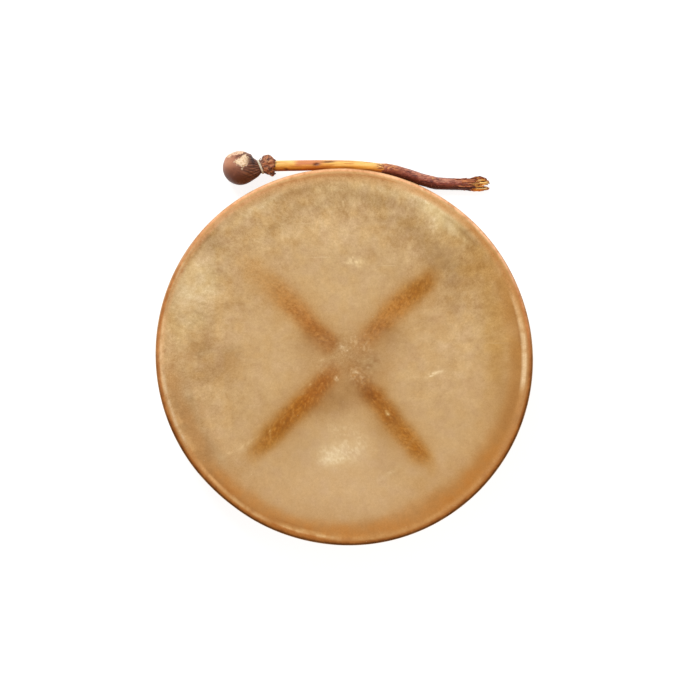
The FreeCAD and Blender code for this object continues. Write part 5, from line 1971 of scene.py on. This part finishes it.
def cover_profile():
    """(distance along the stick, radius) of the leather, pole to hem."""
    rows = []
    for degrees in np.linspace(0, 118, 70):
        angle = math.radians(degrees)
        rows.append((-LEATHER_R * math.cos(angle), LEATHER_R * math.sin(angle)))
    along, radius = rows[-1]
    for share in np.linspace(0, 1, 30)[1:]:
        fall = share * .42 + .58 * (share * share * (3 - 2 * share))
        rows.append((along + (21.0 - along) * share, radius + (6.6 - radius) * fall))
    return np.array(rows + COLLAR)


def bare_patches(dx, dy, dz):
    """Two worn patches on the ball's upper side: a torn lozenge and a long one at +Y."""
    coarse = fbm((dx / 2.6, dy / 2.6, 1), 4, 601)
    fine = fbm((dx / .9, dy / .9, 1), 3, 603)
    lozenge = (np.abs(dx - 3.6) / 9.0) ** 1.05 + (np.abs(dy - 6.6 - .08 * dx) / 7.2) ** 1.05
    tx, ty = dx - 4.6, dy - 12.6
    tongue = (np.abs(.86 * tx - .5 * ty) / 1.9) ** 2 + ((.5 * tx + .86 * ty) / 3.4) ** 2
    lozenge = np.minimum(lozenge, tongue)
    first = smooth(1.06, .97, lozenge + .42 * coarse + .52 * fine) * smooth(0, 3, dz)
    long = ((dx + 4.6) / 11.2) ** 2 + ((dy - 16.6 - .16 * (dx + 6)) / 3.3) ** 2
    long = np.minimum(long, ellipse(dx, dy, -12.0, 12.6, 3.6, 2.0))
    second = smooth(1.15, .98, long + .55 * coarse + .40 * fine) * smooth(-6, 0, dz)
    return first, second


def cover_shape():
    """Grids of distance along the stick and radius, the angles, and the pleats."""
    angles = np.arange(288) * TAU / 288
    along, radius = cover_profile().T[..., None] + 0 * angles
    cos, sin = np.cos(angles), np.sin(angles)
    # uneven pleats gather towards the cord, deeper near the neck
    grow = smooth(-5, 20.5, along) * (1 - .45 * smooth(17, 21, along))
    warp = .55 * noise((along / 9, cos * 1.2, sin * 1.2), 611)
    wide = np.abs(np.sin(11.5 * angles + 3.0 * warp + .4))
    narrow = np.abs(np.sin(19.0 * angles + 4.0 * warp + 1.7 + .02 * along))
    fold = (wide**.55 - .72) * .85 + (narrow**.6 - .72) * .45
    tuck = noise((cos * 2.2, sin * 2.2, along / 30), 613)
    pleats = fold * (1.55 * grow**1.35) * (.75 + .5 * tuck)
    radius = radius + np.where(along < 21.6, pleats, 0)
    # one loose overlap of leather near the neck
    overlap = bell(angles - .9 + .01 * along, .16)
    radius += .5 * overlap * smooth(2, 14, along) * smooth(21, 17, along)
    groove = bell(angles - 1.15 + .01 * along, .05)
    radius -= .9 * groove * smooth(4, 12, along) * smooth(21.5, 18, along)
    # dents and soft wrinkles
    at = coords(along / 9, radius * cos / 9, radius * sin / 9)
    wrinkles = .34 * fbm(at, 3, 617) + .10 * fbm(at * 4.0, 3, 619)
    radius += wrinkles * smooth(-19, -15, along)
    # bunched on one side: a straight slope to the cord there
    bunched = np.clip(-sin, 0, 1) ** 1.3
    radius += bunched * (2.7 * bell(along - 15.6, 3.0) + 1.4 * bell(along - 19.6, 2.0)
                         - .8 * bell(along - 9.8, 3.2))
    radius += 1.1 * bell(angles - 4.71, .55) * bell(along + 13.4, 3.6)
    # the collar is flared and crumpled, with a ragged hem
    crease = noise((along / 5, cos * 2.0, sin * 2.0), 623)
    ruff = .55 * np.sin(7 * angles + 2.2 * crease) + .45 * np.sin(12 * angles + 1.3 + 3 * crease)
    radius += smooth(23.0, 29.0, along) * (1.35 * ruff + 1.3 * crease)
    crumple = fbm((along / 2.0, radius * cos / 2.0, radius * sin / 2.0), 3, 627)
    radius += smooth(22.5, 25, along) * 1.15 * crumple
    radius += bunched * (1.9 * bell(along - 35.0, 2.6) - 1.3 * bell(along - 26.4, 2.4))
    hem = 2.2 * noise((cos * 3.0, sin * 3.0, 0), 629) + np.sin(9 * angles + 1.0) - 1.0
    along = along + smooth(26, 38, along) * hem
    # the neck is tied askew
    tilt = 2.3 * sin * np.clip(radius / 6.6, 0, 1.5)
    along = along + tilt * smooth(9, 19, along) * smooth(38, 27, along)
    return along, radius, cos, sin, fold, grow


def cover_tint(verts, fold, grow, first, second):
    """Colour of the leather's outer face, with painted highlight and painted shade on the ball and
    the collar.
    """
    at = verts.T
    dx, dy, dz = (verts - BALL).T
    along = (verts - BALL) @ head_along
    crease = (fold * grow**1.6).ravel()
    broad, fine = fbm(at / 6.0, 4, 641), fbm(at / 1.6, 3, 643)
    tint = plain((134, 80, 56), len(verts))
    worn = np.maximum(first, second)
    lip_and_shadow = 4 * worn * (1 - worn)
    cream = np.array([238, 210, 176]) + np.array([16, 14, 14]) * fine[:, None]
    paint(cream, ((196, 148, 96), .75 * smooth(.08, .42, fbm(at / .9, 3, 647))))
    pink = np.array([234, 196, 160]) + np.array([16, 16, 16]) * fine[:, None]
    paint(pink, ((176, 122, 92), .7 * smooth(.05, .35, fbm(at / 1.3, 3, 649))))
    upper = smooth(0, 4, dz)
    seam = bell(np.abs((dy - 13.2) - .42 * (dx - 1.5)), .9) * smooth(-6, -3, dx)
    paint(
        tint,
        # painted highlight on the ball's -X, +Y side; painted shade towards the neck and on the -Y
        # side
        ((204, 142, 108), .85 * smooth(5, -13, dx) * smooth(-5, 6, dy)),
        ((104, 64, 44), .80 * smooth(-1, 12, dx - .2 * dy)),
        ((92, 44, 24), .85 * smooth(-1, -13, dy)),
        ((164, 106, 78), .35 * smooth(.1, .5, broad)),
        ((88, 44, 28), .35 * smooth(.1, .5, -broad)),
        # painted shade in the valleys of the pleats, painted highlight on their ridges
        ((48, 20, 12), np.clip(np.clip(-crease, 0, 1) * 2.4, 0, .92)),
        ((176, 122, 96), np.clip(np.clip(crease, 0, 1) * 1.3, 0, .55)),
        # a darker lip under the worn patches' edges, deepened as painted shadow
        ((84, 42, 24), .7 * lip_and_shadow * (dy < 12)),
        (cream, smooth(.45, .8, first)),
        (pink, smooth(.45, .8, second)),
        ((92, 52, 34), .85 * seam * smooth(8, 5, dx) * upper),
    )
    paint_spots(tint, dx, dy, NECK_SHADOWS, upper)
    paint_spots(tint, dx, dy, CREASE_SHADE_AND_HIGHLIGHTS, upper * (.8 + .6 * fine))
    coarse, speck = fbm(at / 2.2, 4, 651), fbm(at / .8, 3, 653)
    collar = plain((134, 72, 46), len(verts))
    paint(
        collar,
        # painted highlight on the collar's +Y side
        ((198, 130, 92), .80 * smooth(0, 9, dy)),
        ((206, 134, 92), .75 * smooth(0, .36, coarse)),
        ((62, 22, 16), .92 * smooth(.02, .30, -coarse)),
        # pale specks painted as glints
        ((204, 160, 108), .7 * smooth(.18, .42, speck)),
        ((96, 46, 38), .5 * smooth(35.0, 38.0, along)),
    )
    paint(tint, (collar, smooth(22.5, 25.5, along)))
    return tint


def build_cover():
    along, radius, cos, sin, fold, grow = cover_shape()
    outer = place(BALL, HEAD_AXES, along, radius * cos, radius * sin).reshape(-1, 3)
    # worn patches are sunk a little, with a lip
    away = outer - BALL
    first, second = bare_patches(*away.T) * (along.ravel() < 18)
    worn = np.maximum(first, second)
    rough = fbm(outer.T / 1.1, 3, 631)
    depth = -.55 * worn + .40 * 4 * worn * (1 - worn) + .28 * worn * rough
    outer = outer + away / (np.linalg.norm(away, axis=1)[:, None] + 1e-9) * depth[:, None]
    outer[:, 2] = np.maximum(outer[:, 2], .3)  # rests on the floor
    # inner face, from every second ring
    thick = 1.15
    inner_along, inner_r = along[::2], radius[::2]
    inner_r = np.maximum(inner_r - thick * smooth(-19, -16, inner_along) - .02, .02)
    inner_r = np.where(inner_along > 18, np.maximum(inner_r, 5.62), inner_r)
    pole = inner_along + thick * smooth(-14, -18.7, inner_along)
    inner_along = np.where(inner_along < -14, pole, inner_along)
    inner = place(BALL, HEAD_AXES, inner_along, inner_r * cos, inner_r * sin)
    inner[..., 2] = np.maximum(inner[..., 2], .9)
    outer_faces = loft(outer.reshape(along.shape + (3,)), False)[1]
    inner_verts, inner_faces = loft(inner, False)
    count, sides = len(outer), len(cos)
    verts = np.vstack([outer, inner_verts])
    faces = [tuple(reversed(face)) for face in outer_faces]
    faces += [tuple(i + count for i in face) for face in inner_faces]
    faces += band(count - sides, len(verts) - sides, sides, flip=True)
    inside = 1 + .15 * fbm(inner_verts.T / 2.2, 4, 651)
    tint = np.vstack([
        cover_tint(outer, fold, grow, first, second),
        np.array([120, 76, 52]) * inside[:, None],
    ])
    cover = add_mesh("beater_leather_cover", verts, faces, BEATER_LEATHER, "beater",
                     "beater_leather", "beater_cover", tint)
    cover.data.materials.append(COLLAR_LEATHER)
    on_collar = (verts - BALL) @ head_along > 23.4
    slots = [int(on_collar[polygon.vertices[0]]) for polygon in cover.data.polygons]
    cover.data.polygons.foreach_set("material_index", slots)


def build_cord():
    """Cord wound twice round the neck of the cover, askew, and knotted."""
    turns = 2.1
    angle = np.radians(np.arange(200.0, 200.0 + 360 * turns, 6.0))
    along = NECK + 2.4 * np.sin(angle) + np.linspace(-.5, .5, len(angle)) * turns * 1.05
    radius = 7.45 + .25 * np.cos(2 * angle)
    path = place(BALL, HEAD_AXES, along, np.cos(angle) * radius, np.sin(angle) * radius)
    parts = plied(path, .62, lay=3.6, sides=8, wobble=.06)
    parts += tied_end(
        path[-1], BALL + head_along * NECK, head_along, lay=3.4,
        turns=1.5, points=30, lift=.7, loop=(1.3, 1.1), drift=.9, cord=.6,
        tail_points=14, tail_lift=(.9, .5), tail_reach=4.6, tail_cord=.55,
        tail_bend=lambda share, sign: 1.8 * share**2 * sign,
    )
    verts, faces = merge(parts)
    grain = fbm(verts.T / 1.2, 3, 661)
    tint = np.array([234, 226, 206]) + np.array([22, 22, 24]) * grain[:, None]
    paint(tint, ((140, 138, 116), .5 * smooth(.1, .45, -grain)))
    add_mesh("neck_cord", verts, faces, CORD, "beater", "cord", "beater_tie", tint)


build_cover()
build_cord()

# ---------------------------------------------------------------- CAD pieces that keep their shape
for piece, material in (
    ("hoop", hoop_material()),
    ("scarf_nails", steel_material("nail_steel", rust=.12)),
    ("grip_ring", steel_material("ring_steel", rust=.02)),
    ("beater_core", felt_material()),
):
    thing = frame["nodes"][piece]
    thing.data.materials.clear()
    thing.data.materials.append(material)
    thing.data.polygons.foreach_set("use_smooth", [True] * len(thing.data.polygons))
    if piece in ("hoop", "scarf_nails"):
        thing.modifiers.new("edges", "EDGE_SPLIT").split_angle = math.radians(28)


# ---------------------------------------------------------------- stage, light, camera; metres
def floor_material():
    """Grey and glowing from above, see-through from below."""
    material = bpy.data.materials.new("floor")
    material.use_nodes = True
    tree = material.node_tree
    tree.nodes.clear()
    output = tree.nodes.new("ShaderNodeOutputMaterial")
    diffuse = tree.nodes.new("ShaderNodeBsdfDiffuse")
    diffuse.inputs["Color"].default_value = (.34, .34, .34, 1)
    glow = tree.nodes.new("ShaderNodeEmission")
    glow.inputs["Color"].default_value = (1, 1, 1, 1)
    glow.inputs["Strength"].default_value = .84
    both = tree.nodes.new("ShaderNodeAddShader")
    clear = tree.nodes.new("ShaderNodeBsdfTransparent")
    mix = tree.nodes.new("ShaderNodeMixShader")
    geometry = tree.nodes.new("ShaderNodeNewGeometry")
    for source, target in (
        (diffuse.outputs[0], both.inputs[0]),
        (glow.outputs[0], both.inputs[1]),
        (geometry.outputs["Backfacing"], mix.inputs[0]),
        (both.outputs[0], mix.inputs[1]),
        (clear.outputs[0], mix.inputs[2]),
        (mix.outputs[0], output.inputs[0]),
    ):
        tree.links.new(source, target)
    return material


def build_floor():
    half, z = 60.0, -.0006
    mesh = bpy.data.meshes.new("floor")
    corners = [(-half, -half, z), (half, -half, z), (half, half, z), (-half, half, z)]
    mesh.from_pydata(corners, [], [(0, 1, 2, 3)])
    floor = bpy.data.objects.new("floor", mesh)
    bpy.context.scene.collection.objects.link(floor)
    mesh.materials.append(floor_material())


def build_world():
    """A white studio, brighter to the camera than as a light."""
    world = bpy.data.worlds.new("studio")
    bpy.context.scene.world = world
    world.use_nodes = True
    tree = world.node_tree
    lighting = tree.nodes["Background"]
    seen = tree.nodes.new("ShaderNodeBackground")
    for background, strength in ((lighting, .47), (seen, 1.0)):
        background.inputs["Color"].default_value = (1.0, 1.0, 1.0, 1)
        background.inputs["Strength"].default_value = strength
    mix = tree.nodes.new("ShaderNodeMixShader")
    rays = tree.nodes.new("ShaderNodeLightPath")
    tree.links.new(rays.outputs["Is Camera Ray"], mix.inputs[0])
    tree.links.new(lighting.outputs[0], mix.inputs[1])
    tree.links.new(seen.outputs[0], mix.inputs[2])
    tree.links.new(mix.outputs[0], tree.nodes["World Output"].inputs["Surface"])


def add_light(name, location, size, watts, color):
    """A disc light aimed at the drum's centre."""
    light = bpy.data.lights.new(name, "AREA")
    light.shape = "DISK"
    light.size = size
    light.energy = watts
    light.color = color
    lamp = bpy.data.objects.new(name, light)
    bpy.context.scene.collection.objects.link(lamp)
    lamp.location = location
    lamp.rotation_euler = (-Vector(location)).to_track_quat("-Z", "Y").to_euler()
    lamp.visible_camera = False


def build_camera():
    """Looks straight down from above the drum."""
    lens = bpy.data.cameras.new("camera")
    lens.sensor_width = 36.0
    lens.lens = 188.3
    lens.clip_end = 100.0
    camera = bpy.data.objects.new("camera", lens)
    bpy.context.scene.collection.objects.link(camera)
    camera.location = (.00631, .00723, 4.0)
    bpy.context.scene.camera = camera
    bpy.context.scene.view_settings.view_transform = "Standard"
    bpy.context.scene.view_settings.look = "None"


build_floor()
build_world()
add_light("key", location=(-.9, 2.3, 2.6), size=1.5, watts=82, color=(1.0, .985, .955))
add_light("fill", location=(2.4, -.6, 2.4), size=2.4, watts=16, color=(.97, .98, 1.0))
add_light("under", location=(.3, -1.4, -2.6), size=2.6, watts=34, color=(1.0, .99, .97))
build_camera()
